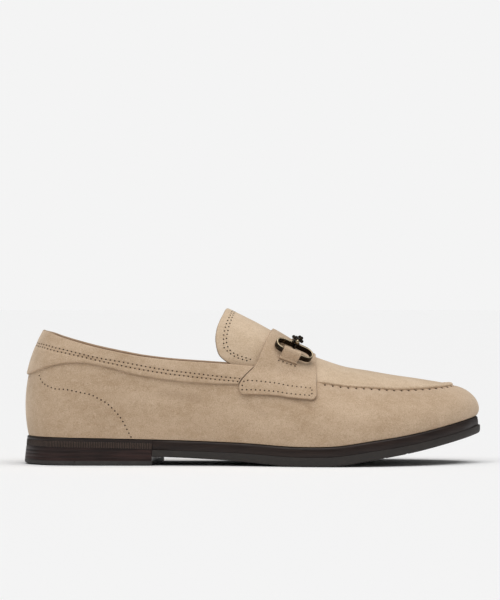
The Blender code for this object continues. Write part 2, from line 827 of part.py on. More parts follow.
def ring_path(side, count=28):
    """Middle of the ring's wire: two straight sides joined by half circles."""
    centre, along, out, normal = ring_frame(side)
    radius = (RING_WIDTH - RING_WIRE) / 2
    straight = (RING_LENGTH - RING_WIDTH) / 2
    path = []
    for k in range(count):
        angle = 2 * math.pi * (k + 0.5) / count
        shift = straight if math.cos(angle) > 0 else -straight
        point = centre + along * (shift + radius * math.cos(angle)) + out * radius * math.sin(angle)
        outside = along * math.cos(angle) + out * math.sin(angle)
        path.append((point, outside, normal))
    return path


def build_rings(finishes):
    for side, name in ((-1.0, "bit_ring_lateral"), (1.0, "bit_ring_medial")):
        bm = bmesh.new()
        tube(bm, ring_path(side), RING_WIRE / 2, RING_TALL / 2)
        close(bm)
        finish(name, bm, finishes["brass"])


def build_bar(finishes):
    """Turned bar over the ridge, bent down to an eye round the inner side of each ring."""
    eye = RING_TALL / 2 + GAP + BAR_EYE / 2
    held, ends = [], []
    for side in (-1.0, 1.0):
        centre, along, out, up = ring_frame(side)
        held.append(centre - out * (RING_WIDTH - RING_WIRE) / 2)
        ends.append(held[-1] + up * eye)
    start, end = ends
    axis = (end - start).normalized()
    half = (end - start).length / 2
    turn = turn_at((start.x + end.x + LENGTH) / 2)
    middle = arch(turn, 0.0, STRAP_LIFT + STRAP + BAR_LIFT + BAR_BALL / 2)
    sag = (start + end) / 2 - middle
    ridge = arch_normal(turn, 0.0)
    lift = (ridge - axis * ridge.dot(axis)).normalized()
    across = axis.cross(lift)
    fine, thin, ball = BAR_EYE / 2, BAR_THICK / 2, BAR_BALL / 2
    profile = (
        (-1.0, 0.0), (-1.0, fine), (-0.88, fine), (-0.80, thin), (-0.62, thin), (-0.60, ball * 0.62),
        (-0.44, ball * 0.62), (-0.40, ball * 0.75), (-0.20, ball * 0.94), (0.0, ball),
        (0.20, ball * 0.94), (0.40, ball * 0.75), (0.44, ball * 0.62), (0.60, ball * 0.62),
        (0.62, thin), (0.80, thin), (0.88, fine), (1.0, fine), (1.0, 0.0),
    )
    sides = 12
    rows = []
    for place, radius in profile:
        core = middle + axis * place * half + sag * place * place
        row = []
        for k in range(sides + 1):
            angle = 2 * math.pi * (k % sides) / sides
            row.append(core + (lift * math.cos(angle) + across * math.sin(angle)) * radius)
        rows.append(row)
    bm = bmesh.new()
    grid(bm, rows)
    close(bm)
    bar = finish("bit_bar", bm, finishes["brass"])
    for side, place in zip((-1.0, 1.0), held):
        centre, along, out, up = ring_frame(side)
        bm = bmesh.new()
        path = []
        for k in range(16):
            angle = 2 * math.pi * k / 16
            spoke = up * math.sin(angle) - out * math.cos(angle)
            path.append((place + spoke * eye, spoke, along))
        tube(bm, path, BAR_EYE / 2, BAR_EYE / 2, 6)
        close(bm)
        loop = finish(f"eye_cutter_{'lateral' if side < 0 else 'medial'}", bm, finishes["brass"])
        loop.hide_render = True
        loop.display_type = "WIRE"
        joint = bar.modifiers.new(loop.name, "BOOLEAN")
        joint.operation = "UNION"
        joint.object = loop


def keeper_profile(side, edge):
    """Inner line of a keeper at one of its two edges, over the wire and down to the strap."""
    origin, seat_along, seat_out, seat_up = bit_seat(side)
    centre, along, out, up = ring_frame(side)
    reach = (RING_WIDTH - RING_WIRE) / 2
    over = RING_WIRE / 2 + GAP
    above = RING_TALL / 2 + GAP
    start = origin + seat_along * edge + seat_out * (reach - over - KEEPER_THICK * 1.6)
    line = [start + seat_up * GAP]
    for k in range(7):
        angle = math.pi * k / 6
        place = reach - over * math.cos(angle)
        line.append(centre + along * edge + out * place + up * above * math.sin(angle))
    tail = origin + seat_along * edge + seat_out * (reach + over + KEEPER_TAIL)
    line.append(tail - seat_up * KEEPER_SAG)
    return line


def build_keepers(finishes):
    """Suede loops that hold each ring's outer side down on the strap."""
    for side, name in ((-1.0, "keeper_lateral"), (1.0, "keeper_medial")):
        bm = bmesh.new()
        rows = []
        for edge in (-KEEPER_WIDTH / 2, KEEPER_WIDTH / 2):
            inner = keeper_profile(side, edge)
            along = bit_seat(side)[1]
            outer = []
            for k, point in enumerate(inner):
                run = inner[min(k + 1, len(inner) - 1)] - inner[max(k - 1, 0)]
                rise = (run - along * run.dot(along)).cross(along).normalized() * -side
                outer.append(point + rise * KEEPER_THICK)
            rows.append((outer, inner))
        grid(bm, [rows[0][0], rows[1][0]])
        grid(bm, [rows[0][1], rows[1][1]])
        for outer, inner in rows:
            grid(bm, [outer, inner])
        grid(bm, [[rows[0][0][0], rows[1][0][0]], [rows[0][1][0], rows[1][1][0]]])
        grid(bm, [[rows[0][0][-1], rows[1][0][-1]], [rows[0][1][-1], rows[1][1][-1]]])
        close(bm)
        finish(name, bm, finishes["suede"])


def clear_scene():
    for item in list(bpy.data.objects):
        bpy.data.objects.remove(item, do_unlink=True)


def main():
    clear_scene()
    finishes = {
        "suede": material("sand_suede", (0.50, 0.37, 0.25), 0.95),
        "lining": material("leather_lining", (0.36, 0.25, 0.17), 0.70),
        "edge": material("dark_brown_edge", (0.035, 0.020, 0.017), 0.45),
        "rubber": material("grey_black_rubber", (0.035, 0.032, 0.030), 0.65),
        "brass": material("antique_brass", (0.34, 0.26, 0.15), 0.35, 1.0),
    }
    build_sole(finishes)
    build_heel(finishes)
    build_insole(finishes)
    build_upper(finishes)
    build_band(finishes)
    build_strap(finishes)
    build_tongue(finishes)
    build_rings(finishes)
    build_bar(finishes)
    build_keepers(finishes)


main()
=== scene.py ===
"""Looks of a right bit loafer in sand suede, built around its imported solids.

Metres, +Z up: +X points to the toe, -Y to the outer side of the foot. A place
along the shoe is a share, 0 at the heel and 1 at the toe. A place around it is an
angle: 0 at the back of the heel, negative down the outer (lateral) side, positive
down the inner (medial) side and plus or minus pi at the toe.
"""
from __future__ import annotations

import logging
import math
from dataclasses import dataclass
from enum import Enum
from typing import Callable, Optional, Sequence

import bpy
import numpy as np
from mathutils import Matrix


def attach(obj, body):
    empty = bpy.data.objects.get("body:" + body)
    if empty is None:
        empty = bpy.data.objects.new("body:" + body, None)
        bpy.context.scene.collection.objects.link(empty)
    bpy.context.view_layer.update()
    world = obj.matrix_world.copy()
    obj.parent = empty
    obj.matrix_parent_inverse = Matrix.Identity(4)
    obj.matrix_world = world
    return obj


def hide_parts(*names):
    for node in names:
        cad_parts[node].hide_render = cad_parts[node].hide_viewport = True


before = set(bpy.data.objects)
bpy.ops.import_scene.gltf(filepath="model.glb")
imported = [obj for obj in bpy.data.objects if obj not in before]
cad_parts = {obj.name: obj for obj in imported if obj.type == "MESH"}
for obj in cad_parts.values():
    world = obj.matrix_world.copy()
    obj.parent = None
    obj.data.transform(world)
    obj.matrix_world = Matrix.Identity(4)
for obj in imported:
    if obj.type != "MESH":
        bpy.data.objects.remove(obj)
LOG = logging.getLogger("loafer")
Array = np.ndarray
Points = Callable[[Array, Array], Array]
MM = 0.001

# Outline of the sole: half widths as shares of half the heel or ball width, and
# how far the feather is tucked in, in feather steps
PLAN = (
    (0.000, 0.000, 0.000, 0.000, 0.000, 1.60),
    (0.010, 0.410, 0.000, 0.410, 0.000, 1.55),
    (0.030, 0.680, 0.000, 0.680, 0.000, 1.45),
    (0.060, 0.885, 0.000, 0.885, 0.000, 1.30),
    (0.110, 0.995, 0.000, 0.990, 0.000, 1.10),
    (0.160, 1.005, 0.000, 0.995, 0.000, 1.00),
    (0.220, 1.010, 0.000, 0.965, 0.000, 1.00),
    (0.300, 1.030, 0.000, 0.920, 0.000, 1.00),
    (0.380, 0.540, 0.340, 0.440, 0.280, 1.00),
    (0.460, 0.000, 0.745, 0.000, 0.590, 1.00),
    (0.540, 0.000, 0.865, 0.000, 0.695, 1.00),
    (0.610, 0.000, 0.970, 0.000, 0.835, 1.00),
    (0.670, 0.000, 1.015, 0.000, 0.940, 1.00),
    (0.720, 0.000, 0.995, 0.000, 0.985, 1.00),
    (0.780, 0.000, 0.925, 0.000, 0.985, 1.00),
    (0.840, 0.000, 0.800, 0.000, 0.930, 1.00),
    (0.900, 0.000, 0.600, 0.000, 0.820, 1.00),
    (0.945, 0.000, 0.375, 0.000, 0.700, 1.00),
    (0.975, 0.000, 0.170, 0.000, 0.560, 1.05),
    (0.993, 0.000, -0.040, 0.000, 0.400, 1.10),
    (1.000, 0.000, -0.210, 0.000, 0.210, 1.10),
)
PLAN_COLUMNS = ("along", "heel_lateral", "ball_lateral", "heel_medial", "ball_medial", "tuck")

# Side view of the sole
SOLE_LINE = (
    (0.00, 1.30, 0.000, 0.72),
    (0.18, 1.12, 0.000, 0.72),
    (0.28, 1.02, 0.000, 0.72),
    (0.40, 0.77, 0.000, 0.78),
    (0.48, 0.52, 0.000, 0.88),
    (0.53, 0.24, 0.000, 0.97),
    (0.57, 0.00, 0.000, 1.00),
    (0.68, 0.00, 0.000, 1.00),
    (0.74, 0.00, 0.180, 0.96),
    (0.80, 0.00, 0.310, 0.90),
    (0.86, 0.00, 0.480, 0.86),
    (0.92, 0.00, 0.690, 0.84),
    (0.96, 0.00, 0.850, 0.84),
    (1.00, 0.00, 1.000, 0.84),
)
SOLE_COLUMNS = ("along", "heel", "spring", "rubber")

# The line where the wall ends: the collar, then the apron seam
TOP_LINE = (
    (0.000, 0.000, 0.000, 1.000, 0.000, 1.50, 0.50),
    (0.015, 0.440, 0.000, 0.980, 0.000, 1.50, 0.50),
    (0.046, 0.715, 0.000, 0.936, 0.000, 1.50, 0.50),
    (0.082, 0.870, 0.000, 0.895, 0.000, 1.50, 0.50),
    (0.118, 0.950, 0.000, 0.860, 0.000, 1.50, 0.50),
    (0.190, 1.000, 0.000, 0.805, 0.000, 1.50, 0.50),
    (0.241, 1.005, 0.000, 0.773, 0.000, 1.48, 0.50),
    (0.313, 0.995, 0.000, 0.748, 0.000, 1.45, 0.50),
    (0.387, 0.980, 0.000, 0.737, 0.000, 1.39, 0.50),
    (0.435, 0.980, 0.000, 0.731, 0.000, 1.246, 0.50),
    (0.503, 1.000, 0.000, 0.722, 0.000, 1.000, 0.52),
    (0.560, 0.000, 0.950, 0.000, 1.205, 0.820, 0.60),
    (0.591, 0.000, 0.965, 0.000, 1.145, 0.747, 0.68),
    (0.636, 0.000, 0.985, 0.000, 1.070, 0.570, 0.84),
    (0.682, 0.000, 1.000, 0.000, 1.000, 0.475, 0.98),
    (0.737, 0.000, 0.985, 0.000, 0.890, 0.396, 1.00),
    (0.791, 0.000, 0.930, 0.000, 0.806, 0.349, 1.00),
    (0.862, 0.000, 0.810, 0.000, 0.686, 0.284, 1.00),
    (0.921, 0.000, 0.660, 0.000, 0.600, 0.197, 1.00),
    (0.949, 0.000, 0.560, 0.000, 0.562, 0.142, 1.00),
    (0.980, 0.000, 0.380, 0.000, 0.520, 0.075, 1.00),
    (0.994, 0.000, 0.215, 0.000, 0.507, 0.028, 1.00),
    (1.000, 0.000, 0.000, 0.000, 0.497, 0.000, 1.00),
)
TOP_COLUMNS = ("share", "collar_width", "apron_width", "collar_height", "seam_height", "crown", "arch")

# Handles of the wall's rib, a Bezier curve from the feather to the top line
RIB = (
    (0.00, 1.10, 0.29, 0.90, 0.66),
    (0.20, 1.00, 0.30, 0.90, 0.68),
    (0.40, 0.80, 0.33, 0.77, 0.67),
    (0.55, 0.80, 0.35, 0.60, 0.72),
    (0.68, 1.00, 0.36, 0.57, 0.87),
    (0.85, 1.05, 0.33, 0.60, 0.92),
    (1.00, 1.28, 0.32, 0.66, 0.94),
)
RIB_COLUMNS = ("share", "bulge", "low", "shoulder", "high")

# Middle line of the top line in plan, in shares of half the ball width
KEEL = (
    (0.00, 0.000),
    (0.20, -0.010),
    (0.40, -0.035),
    (0.55, -0.025),
    (0.65, 0.000),
    (0.75, 0.050),
    (0.85, 0.105),
    (0.93, 0.160),
    (1.00, 0.200),
)
KEEL_COLUMNS = ("share", "offset")

# Lower edge of the collar band, as a share of the wall's height
BAND_EDGE = (
    (0.000, 0.575),
    (0.012, 0.610),
    (0.037, 0.690),
    (0.060, 0.750),
    (0.083, 0.784),
    (0.120, 0.808),
    (0.155, 0.803),
    (0.220, 0.772),
    (0.341, 0.737),
    (0.387, 0.731),
    (0.500, 0.752),
)
BAND_COLUMNS = ("share", "height")

# Edges of the saddle strap from its foot (0) to the top line (1) and the ridge (2)
STRAP_EDGE = (
    (0.00, 0.4750, 0.6530),
    (0.20, 0.4730, 0.6560),
    (1.00, 0.5110, 0.6575),
    (1.40, 0.5310, 0.6565),
    (1.75, 0.5460, 0.6560),
    (1.92, 0.5500, 0.6560),
    (2.00, 0.5505, 0.6560),
)
STRAP_COLUMNS = ("girth", "rear", "front")

# Free end of the tongue, from its middle (0) to its side (1)
TONGUE_END = (
    (0.000, 0.443),
    (0.270, 0.435),
    (0.430, 0.426),
    (0.570, 0.418),
    (0.685, 0.415),
    (0.762, 0.417),
    (0.833, 0.422),
    (0.876, 0.432),
    (0.910, 0.446),
    (0.940, 0.462),
    (1.000, 0.496),
)
TONGUE_COLUMNS = ("across", "share")


class Side(Enum):
    """The two sides of the foot, with the sign of their angles."""

    LATERAL = -1.0
    MEDIAL = 1.0


class Slot(Enum):
    """Material slots of the record."""

    SUEDE = "suede"
    LINING = "lining"
    EDGE = "edge"
    RUBBER = "rubber"
    BRASS = "brass"


@dataclass(frozen=True)
class View:
    """The camera: level, and square to the side of the shoe."""

    place: tuple = (-0.0018, -2.0, 0.1068)
    lens: float = 183.2
    sensor: float = 36.0
    width: int = 500
    height: int = 600

    def spot(self, points: Array) -> Array:
        """Spots of the picture at which points are seen, in pixels from its top left corner.

        Args:
            points: points of the scene.

        Returns:
            The spots.
        """
        focal = self.lens / self.sensor * self.height
        depth = points[..., 1] - self.place[1]
        x = self.width / 2 + focal * (points[..., 0] - self.place[0]) / depth
        y = self.height / 2 - focal * (points[..., 2] - self.place[2]) / depth
        return np.stack([x, y], -1)

    def found(self, spots: Array, surface: Points, first: tuple, second: tuple) -> tuple[Array, Array]:
        """Where on a surface the camera sees each spot.

        Args:
            spots: spots of the picture.
            surface: points of the surface by its two places.
            first: range of the first place.
            second: range of the second place.

        Returns:
            The two places of each spot.
        """
        a, b = np.meshgrid(np.linspace(*first, 120), np.linspace(*second, 60), indexing="ij")
        gap = self.spot(surface(a, b)).reshape(-1, 2)[None] - spots[:, None]
        nearest = (gap**2).sum(-1).argmin(1)
        a, b = a.reshape(-1)[nearest], b.reshape(-1)[nearest]
        step = 1e-4
        for _ in range(8):
            here = self.spot(surface(a, b))
            by_a = (self.spot(surface(a + step, b)) - here) / step
            by_b = (self.spot(surface(a, b + step)) - here) / step
            off = spots - here
            area = by_a[:, 0] * by_b[:, 1] - by_a[:, 1] * by_b[:, 0]
            area = np.where(np.abs(area) < 1.0, 1.0, area)
            a = np.clip(a + 0.8 * (off[:, 0] * by_b[:, 1] - off[:, 1] * by_b[:, 0]) / area, *first)
            b = np.clip(b + 0.8 * (off[:, 1] * by_a[:, 0] - off[:, 0] * by_a[:, 1]) / area, *second)
        return a, b


VIEW = View()


class Curve:
    """Smooth line through the rows of a table that never overshoots them."""

    def __init__(self, places: Sequence[float], values: Sequence[float]) -> None:
        """Works out the slope at each row.

        Args:
            places: the rows' places, rising.
            values: the value at each place.
        """
        self.places = np.asarray(places, float)
        self.values = np.asarray(values, float)
        rises = np.diff(self.values) / np.diff(self.places)
        left, right = rises[:-1], rises[1:]
        total = np.where(left + right == 0.0, 1.0, left + right)
        middle = np.where(left * right > 0.0, 2.0 * left * right / total, 0.0)
        self.slopes = np.concatenate([rises[:1], middle, rises[-1:]])

    def __call__(self, place: Array) -> Array:
        """Value at each place, held at the ends of the table.

        Args:
            place: the places.

        Returns:
            The values.
        """
        place = np.clip(place, self.places[0], self.places[-1])
        low = np.clip(np.searchsorted(self.places, place, side="right") - 1, 0, len(self.places) - 2)
        run = self.places[low + 1] - self.places[low]
        t = (place - self.places[low]) / run
        return (
            self.values[low] * (1 + 2 * t) * (1 - t) ** 2
            + self.slopes[low] * run * t * (1 - t) ** 2
            + self.values[low + 1] * t * t * (3 - 2 * t)
            + self.slopes[low + 1] * run * t * t * (t - 1)
        )


def turn_of(share: Array) -> Array:
    """Angle from the heel back that a share of the way to the toe stands for."""
    return np.arccos(1.0 - 2.0 * np.clip(share, 0.0, 1.0))


def share_of(turn: Array) -> Array:
    """Share of the way to the toe of an angle from the heel back."""
    return (1.0 - np.cos(turn)) / 2.0


def column(table: Sequence[Sequence[float]], names: Sequence[str], **sizes: float) -> Curve:
    """Curve of a table's named columns, each times its size and all added."""
    values = [sum(row[names.index(name)] * size for name, size in sizes.items()) for row in table]
    return Curve([row[0] for row in table], values)


def turned(table: Sequence[Sequence[float]], names: Sequence[str], **sizes: float) -> Curve:
    """The same, laid out by angle, which keeps the ends at heel and toe round."""
    flat = column(table, names, **sizes)
    return Curve(turn_of(flat.places), flat.values)


def softened(curve: Curve, reach: float) -> Curve:
    """The curve with its bends eased over a reach, its lowest place back at zero.

    Args:
        curve: the curve.
        reach: how far along it each bend is spread.

    Returns:
        The eased curve.
    """
    places = np.linspace(0.0, 1.0, 241)
    near = np.exp(-(((places[:, None] - places[None, :]) / reach) ** 2))
    plain = curve(places)
    mean = (near * plain).sum(1) / near.sum(1)
    values = plain + (mean - plain) * ease(10 * places) * ease(10 - 10 * places)
    return Curve(places, values - values.min())


def run_along(points: Array) -> Array:
    """Distance of each point of a line from its first, along the line."""
    return np.concatenate([[0.0], np.linalg.norm(np.diff(points, axis=0), axis=-1).cumsum()])


def drawn(spots: Sequence[Sequence[float]], count: int = 300) -> Array:
    """Smooth line through a few spots or points, finely divided.

    Args:
        spots: the spots.
        count: how many points the line gets.

    Returns:
        The points of the line.
    """
    spots = np.asarray(spots, float)
    run = run_along(spots)
    place = np.linspace(0.0, run[-1], count)
    return np.stack([Curve(run, spots[:, k])(place) for k in range(spots.shape[1])], -1)


def facing(surface: Points, first: Array, second: Array) -> Array:
    """Directions square to a surface at places of it.

    Args:
        surface: points of the surface by its two places.
        first: first places.
        second: second places.

    Returns:
        The directions.
    """
    step = 5e-4
    by_first = surface(first + step, second) - surface(first - step, second)
    by_second = surface(first, second + step) - surface(first, second - step)
    return unit(np.cross(by_first, by_second))


def unit(vectors: Array) -> Array:
    """The vectors at length one."""
    return vectors / np.maximum(np.linalg.norm(vectors, axis=-1, keepdims=True), 1e-12)


def ease(t: Array) -> Array:
    """Smooth step from 0 to 1."""
    t = np.clip(t, 0.0, 1.0)
    return t * t * (3.0 - 2.0 * t)


@dataclass
class Last:
    """Surfaces of the shoe, the same as those of its solids but worked on arrays."""

    length: float = 0.2985
    ball_width: float = 0.1045
    heel_width: float = 0.066
    heel_height: float = 0.0058
    toe_spring: float = 0.0198
    collar_height: float = 0.0685
    seam_height: float = 0.0396
    instep_rise: float = 0.0297
    collar_width: float = 0.057
    apron_width: float = 0.062
    outsole: float = 0.0060
    midsole: float = 0.0062
    feather_step: float = 0.0016
    bulge: float = 0.0040
    seam_back: float = 0.0030
    gap: float = 0.0003
    nudge: float = 0.0005

    def __post_init__(self) -> None:
        """Makes the curves of all tables."""
        self.top_back = 0.0455 * self.length
        self.top_front = 0.946 * self.length
        heel, ball = self.heel_width / 2, self.ball_width / 2
        self.lateral_half = turned(PLAN, PLAN_COLUMNS, heel_lateral=heel, ball_lateral=ball)
        self.medial_half = turned(PLAN, PLAN_COLUMNS, heel_medial=heel, ball_medial=ball)
        self.tuck = turned(PLAN, PLAN_COLUMNS, tuck=self.feather_step)
        under = column(SOLE_LINE, SOLE_COLUMNS, heel=self.heel_height, spring=self.toe_spring)
        self.under = softened(under, 0.045)
        self.rubber = column(SOLE_LINE, SOLE_COLUMNS, rubber=self.outsole)
        self.top_half = turned(
            TOP_LINE, TOP_COLUMNS, collar_width=self.collar_width / 2, apron_width=self.apron_width / 2
        )
        self.top_height = turned(
            TOP_LINE, TOP_COLUMNS, collar_height=self.collar_height, seam_height=self.seam_height
        )
        self.crown = turned(TOP_LINE, TOP_COLUMNS, crown=self.instep_rise)
        self.arching = turned(TOP_LINE, TOP_COLUMNS, arch=1.0)
        self.rib = {name: column(RIB, RIB_COLUMNS, **{name: 1.0}) for name in RIB_COLUMNS[1:]}
        self.keel = column(KEEL, KEEL_COLUMNS, offset=ball)
        self.band_low = column(BAND_EDGE, BAND_COLUMNS, height=1.0)
        self.strap_rear = column(STRAP_EDGE, STRAP_COLUMNS, rear=1.0)
        self.strap_front = column(STRAP_EDGE, STRAP_COLUMNS, front=1.0)
        self.tongue_rear = column(TONGUE_END, TONGUE_COLUMNS, share=1.0)
        self.side_shift = (self.lateral_half.values.max() - self.medial_half.values.max()) / 2

    def turn_at(self, distance: float) -> float:
        """Angle of the top line at a distance from the back of the heel."""
        return float(turn_of((distance - self.top_back) / (self.top_front - self.top_back)))

    def outline(self, angle: Array) -> Array:
        """Points of the sole's outline in plan, with their height left at zero.

        Args:
            angle: the angles.

        Returns:
            The points.
        """
        angle = (np.asarray(angle, float) + math.pi) % (2 * math.pi) - math.pi
        turn = np.abs(angle)
        half = np.where(angle < 0, -self.lateral_half(turn), self.medial_half(turn))
        x = self.length * (share_of(turn) - 0.5)
        return np.stack([x, half + self.side_shift, np.zeros_like(x)], -1)

    def outward(self, angle: Array) -> Array:
        """Direction in plan that points straight out of the sole's edge."""
        along = self.outline(angle + self.nudge) - self.outline(angle - self.nudge)
        return unit(np.stack([-along[..., 1], along[..., 0], np.zeros_like(along[..., 0])], -1))

    def inset(self, angle: Array, depth: Array) -> Array:
        """Points of the outline moved inwards."""
        return self.outline(angle) - self.outward(angle) * np.asarray(depth)[..., None]

    def underside(self, x: Array) -> Array:
        """Height of the underside of the sole."""
        return self.under(x / self.length + 0.5)

    def layer_line(self, x: Array) -> Array:
        """Height of the joint between the rubber and the midsole."""
        return self.underside(x) + self.rubber(x / self.length + 0.5)

    def feather_height(self, x: Array) -> Array:
        """Height of the top of the midsole."""
        return self.layer_line(x) + self.gap + self.midsole

    def feather(self, angle: Array) -> Array:
        """Points where the wall meets the sole.

        Args:
            angle: the angles.

        Returns:
            The points.
        """
        turn = np.abs((np.asarray(angle, float) + math.pi) % (2 * math.pi) - math.pi)
        point = self.inset(angle, self.tuck(turn))
        point[..., 2] = self.feather_height(point[..., 0]) + self.gap
        return point

    def rim(self, angle: Array) -> Array:
        """Points of the top line: the collar's edge, or the apron seam.

        Args:
            angle: the angles.

        Returns:
            The points.
        """
        angle = (np.asarray(angle, float) + math.pi) % (2 * math.pi) - math.pi
        turn = np.abs(angle)
        share = share_of(turn)
        x = self.top_back + (self.top_front - self.top_back) * share - self.length / 2
        x = x - self.seam_back * ease((share - 0.80) / 0.20)
        y = self.keel(share) + np.sign(angle) * self.top_half(turn) + self.side_shift
        return np.stack([x, y, self.feather(angle)[..., 2] + self.top_height(turn)], -1)

    def wall_base(self, angle: Array, v: Array) -> Array:
        """Points of the wall, v from 0 at the feather to 1 at the top line.

        Args:
            angle: places around the shoe.
            v: places up the wall.

        Returns:
            The points.
        """
        angle, v = np.broadcast_arrays(np.asarray(angle, float), np.asarray(v, float))
        turn = np.abs((angle + math.pi) % (2 * math.pi) - math.pi)
        share = share_of(turn)
        foot, top, out = self.feather(angle), self.rim(angle), self.outward(angle)
        height = (top - foot)[..., 2]
        width = np.maximum(((foot - top) * out).sum(-1), 0.0) + self.bulge
        up = np.array([0.0, 0.0, 1.0])
        low = foot + out * (self.rib["bulge"](share) * self.bulge)[..., None]
        low = low + up * (height * self.rib["low"](share))[..., None]
        high = top + out * (width * self.rib["shoulder"](share))[..., None]
        high[..., 2] = foot[..., 2] + height * self.rib["high"](share)
        v, u = v[..., None], 1.0 - v[..., None]
        return foot * u**3 + low * (3 * v * u * u) + high * (3 * v * v * u) + top * v**3

    def wall_normal(self, angle: Array, v: Array) -> Array:
        """Directions that point out of the wall.

        Args:
            angle: places around the shoe.
            v: places up the wall.

        Returns:
            The directions.
        """
        v = np.clip(v, self.nudge, 1.0 - self.nudge)
        across = self.wall_base(angle, v + self.nudge) - self.wall_base(angle, v - self.nudge)
        along = self.wall_base(angle + self.nudge, v) - self.wall_base(angle - self.nudge, v)
        return unit(np.cross(across, along))

    def wall(self, angle: Array, v: Array, lift: Array) -> Array:
        """Points of the wall, moved off it."""
        return self.wall_base(angle, v) + self.wall_normal(angle, v) * np.asarray(lift)[..., None]

    def height_share(self, angle: Array, share: Array) -> Array:
        """How far along the rib a share of the wall's height is reached.

        Args:
            angle: places around the shoe.
            share: shares of the height.

        Returns:
            The places up the wall.
        """
        angle, share = np.broadcast_arrays(np.asarray(angle, float), np.asarray(share, float))
        foot = self.wall_base(angle, 0.0)[..., 2]
        height = self.wall_base(angle, 1.0)[..., 2] - foot
        low, high = np.zeros_like(share), np.ones_like(share)
        for _ in range(22):
            middle = (low + high) / 2
            under = self.wall_base(angle, middle)[..., 2] - foot < height * share
            low, high = np.where(under, middle, low), np.where(under, high, middle)
        return low

    def below(self, angle: Array, distance: Array) -> Array:
        """How far along the rib a distance down from the top line is reached.

        Args:
            angle: places around the shoe.
            distance: distances down.

        Returns:
            The places up the wall.
        """
        angle, distance = np.broadcast_arrays(np.asarray(angle, float), np.asarray(distance, float))
        flat_angle, flat_distance = angle.reshape(-1), distance.reshape(-1)
        ladder = np.linspace(1.0, 0.0, 49)
        rib = self.wall_base(flat_angle[:, None], ladder[None, :])
        run = np.linalg.norm(np.diff(rib, axis=1), axis=-1).cumsum(1)
        run = np.concatenate([np.zeros((len(flat_angle), 1)), run], 1)
        found = [np.interp(d, row, ladder) for d, row in zip(flat_distance, run)]
        return np.array(found).reshape(angle.shape)

    def arch_base(self, turn: Array, c: Array, narrower: float = 0.0, drop: float = 0.0) -> Array:
        """Points over the instep, c from -1 at the lateral seam to 1 at the medial.

        Args:
            turn: angle from the heel back.
            c: places across.
            narrower: how much to draw in each side.
            drop: how much to lower the sides.

        Returns:
            The points.
        """
        turn, c = np.broadcast_arrays(np.asarray(turn, float), np.asarray(c, float))
        lateral, medial = self.rim(-turn), self.rim(turn)
        q = np.sin(c * math.pi / 2)
        half = (medial - lateral)[..., 1] / 2 - narrower
        middle = (medial + lateral)[..., 1] / 2
        edge = lateral[..., 2] + (medial - lateral)[..., 2] * (q + 1) / 2 - drop
        rise = (self.crown(turn) + drop) * np.maximum(1.0 - q * q, 0.0) ** self.arching(turn)
        return np.stack([lateral[..., 0], middle + half * q, edge + rise], -1)

    def arch_normal(self, turn: Array, c: Array, narrower: float = 0.0, drop: float = 0.0) -> Array:
        """Directions that point out of the instep.

        Args:
            turn: angle from the heel back.
            c: places across.
            narrower: how much to draw in each side.
            drop: how much to lower the sides.

        Returns:
            The directions.
        """
        c = np.clip(c, -0.97, 0.97)
        turn = np.minimum(turn, math.pi - 0.02)
        step = self.nudge
        sides = narrower, drop
        across = self.arch_base(turn, c + step, *sides) - self.arch_base(turn, c - step, *sides)
        along = self.arch_base(turn + step, c, *sides) - self.arch_base(turn - step, c, *sides)
        return unit(np.cross(along, across))

    def arch(self, turn: Array, c: Array, lift: Array, narrower: float = 0.0, drop: float = 0.0) -> Array:
        """Points over the instep, moved off it."""
        normal = self.arch_normal(turn, c, narrower, drop)
        return self.arch_base(turn, c, narrower, drop) + normal * np.asarray(lift)[..., None]

    def seam_normal(self, angle: Array) -> Array:
        """Direction midway between the wall and the apron where they meet."""
        side = np.where(np.asarray(angle) < 0, -1.0, 1.0)
        return unit(self.wall_normal(angle, 0.99) + self.arch_normal(np.abs(angle), 0.96 * side))


LAST = Last()


# Modelling
def deselect() -> None:
    """Leaves object mode's selection empty."""
    if bpy.context.object and bpy.context.object.mode != "OBJECT":
        bpy.ops.object.mode_set(mode="OBJECT")
    bpy.ops.object.select_all(action="DESELECT")


def choose(piece: bpy.types.Object) -> None:
    """Makes a piece the only one selected, and the active one.

    Args:
        piece: the piece.
    """
    deselect()
    piece.select_set(True)
    bpy.context.view_layer.objects.active = piece


def laid(name: str, points: Array, tone: Optional[Array] = None) -> bpy.types.Object:
    """Grid primitive laid on a surface.

    Args:
        name: name of the new piece.
        points: rows by columns of points for its corners.
        tone: a value for each point, kept as the attribute that finishes read.

    Returns:
        The new piece.
    """
    rows, columns = points.shape[:2]
    deselect()
    bpy.ops.mesh.primitive_grid_add(x_subdivisions=columns - 1, y_subdivisions=rows - 1, size=1.0)
    piece = bpy.context.object
    piece.name = piece.data.name = name
    piece.data.vertices.foreach_set("co", points.reshape(-1).astype(np.float32))
    values = np.zeros(rows * columns) if tone is None else np.broadcast_to(tone, (rows, columns))
    kept = piece.data.attributes.new("tone", "FLOAT", "POINT")
    kept.data.foreach_set("value", values.reshape(-1).astype(np.float32))
    piece.data.update()
    return piece


def weld(piece: bpy.types.Object, distance: float = 2e-6) -> None:
    """Merges the points that meet and turns all faces outwards.

    Args:
        piece: the piece.
        distance: how near two points count as one.
    """
    choose(piece)
    bpy.ops.object.mode_set(mode="EDIT")
    bpy.ops.mesh.select_all(action="SELECT")
    bpy.ops.mesh.remove_doubles(threshold=distance)
    bpy.ops.mesh.dissolve_degenerate(threshold=distance)
    bpy.ops.mesh.select_all(action="SELECT")
    bpy.ops.mesh.normals_make_consistent(inside=False)
    bpy.ops.object.mode_set(mode="OBJECT")


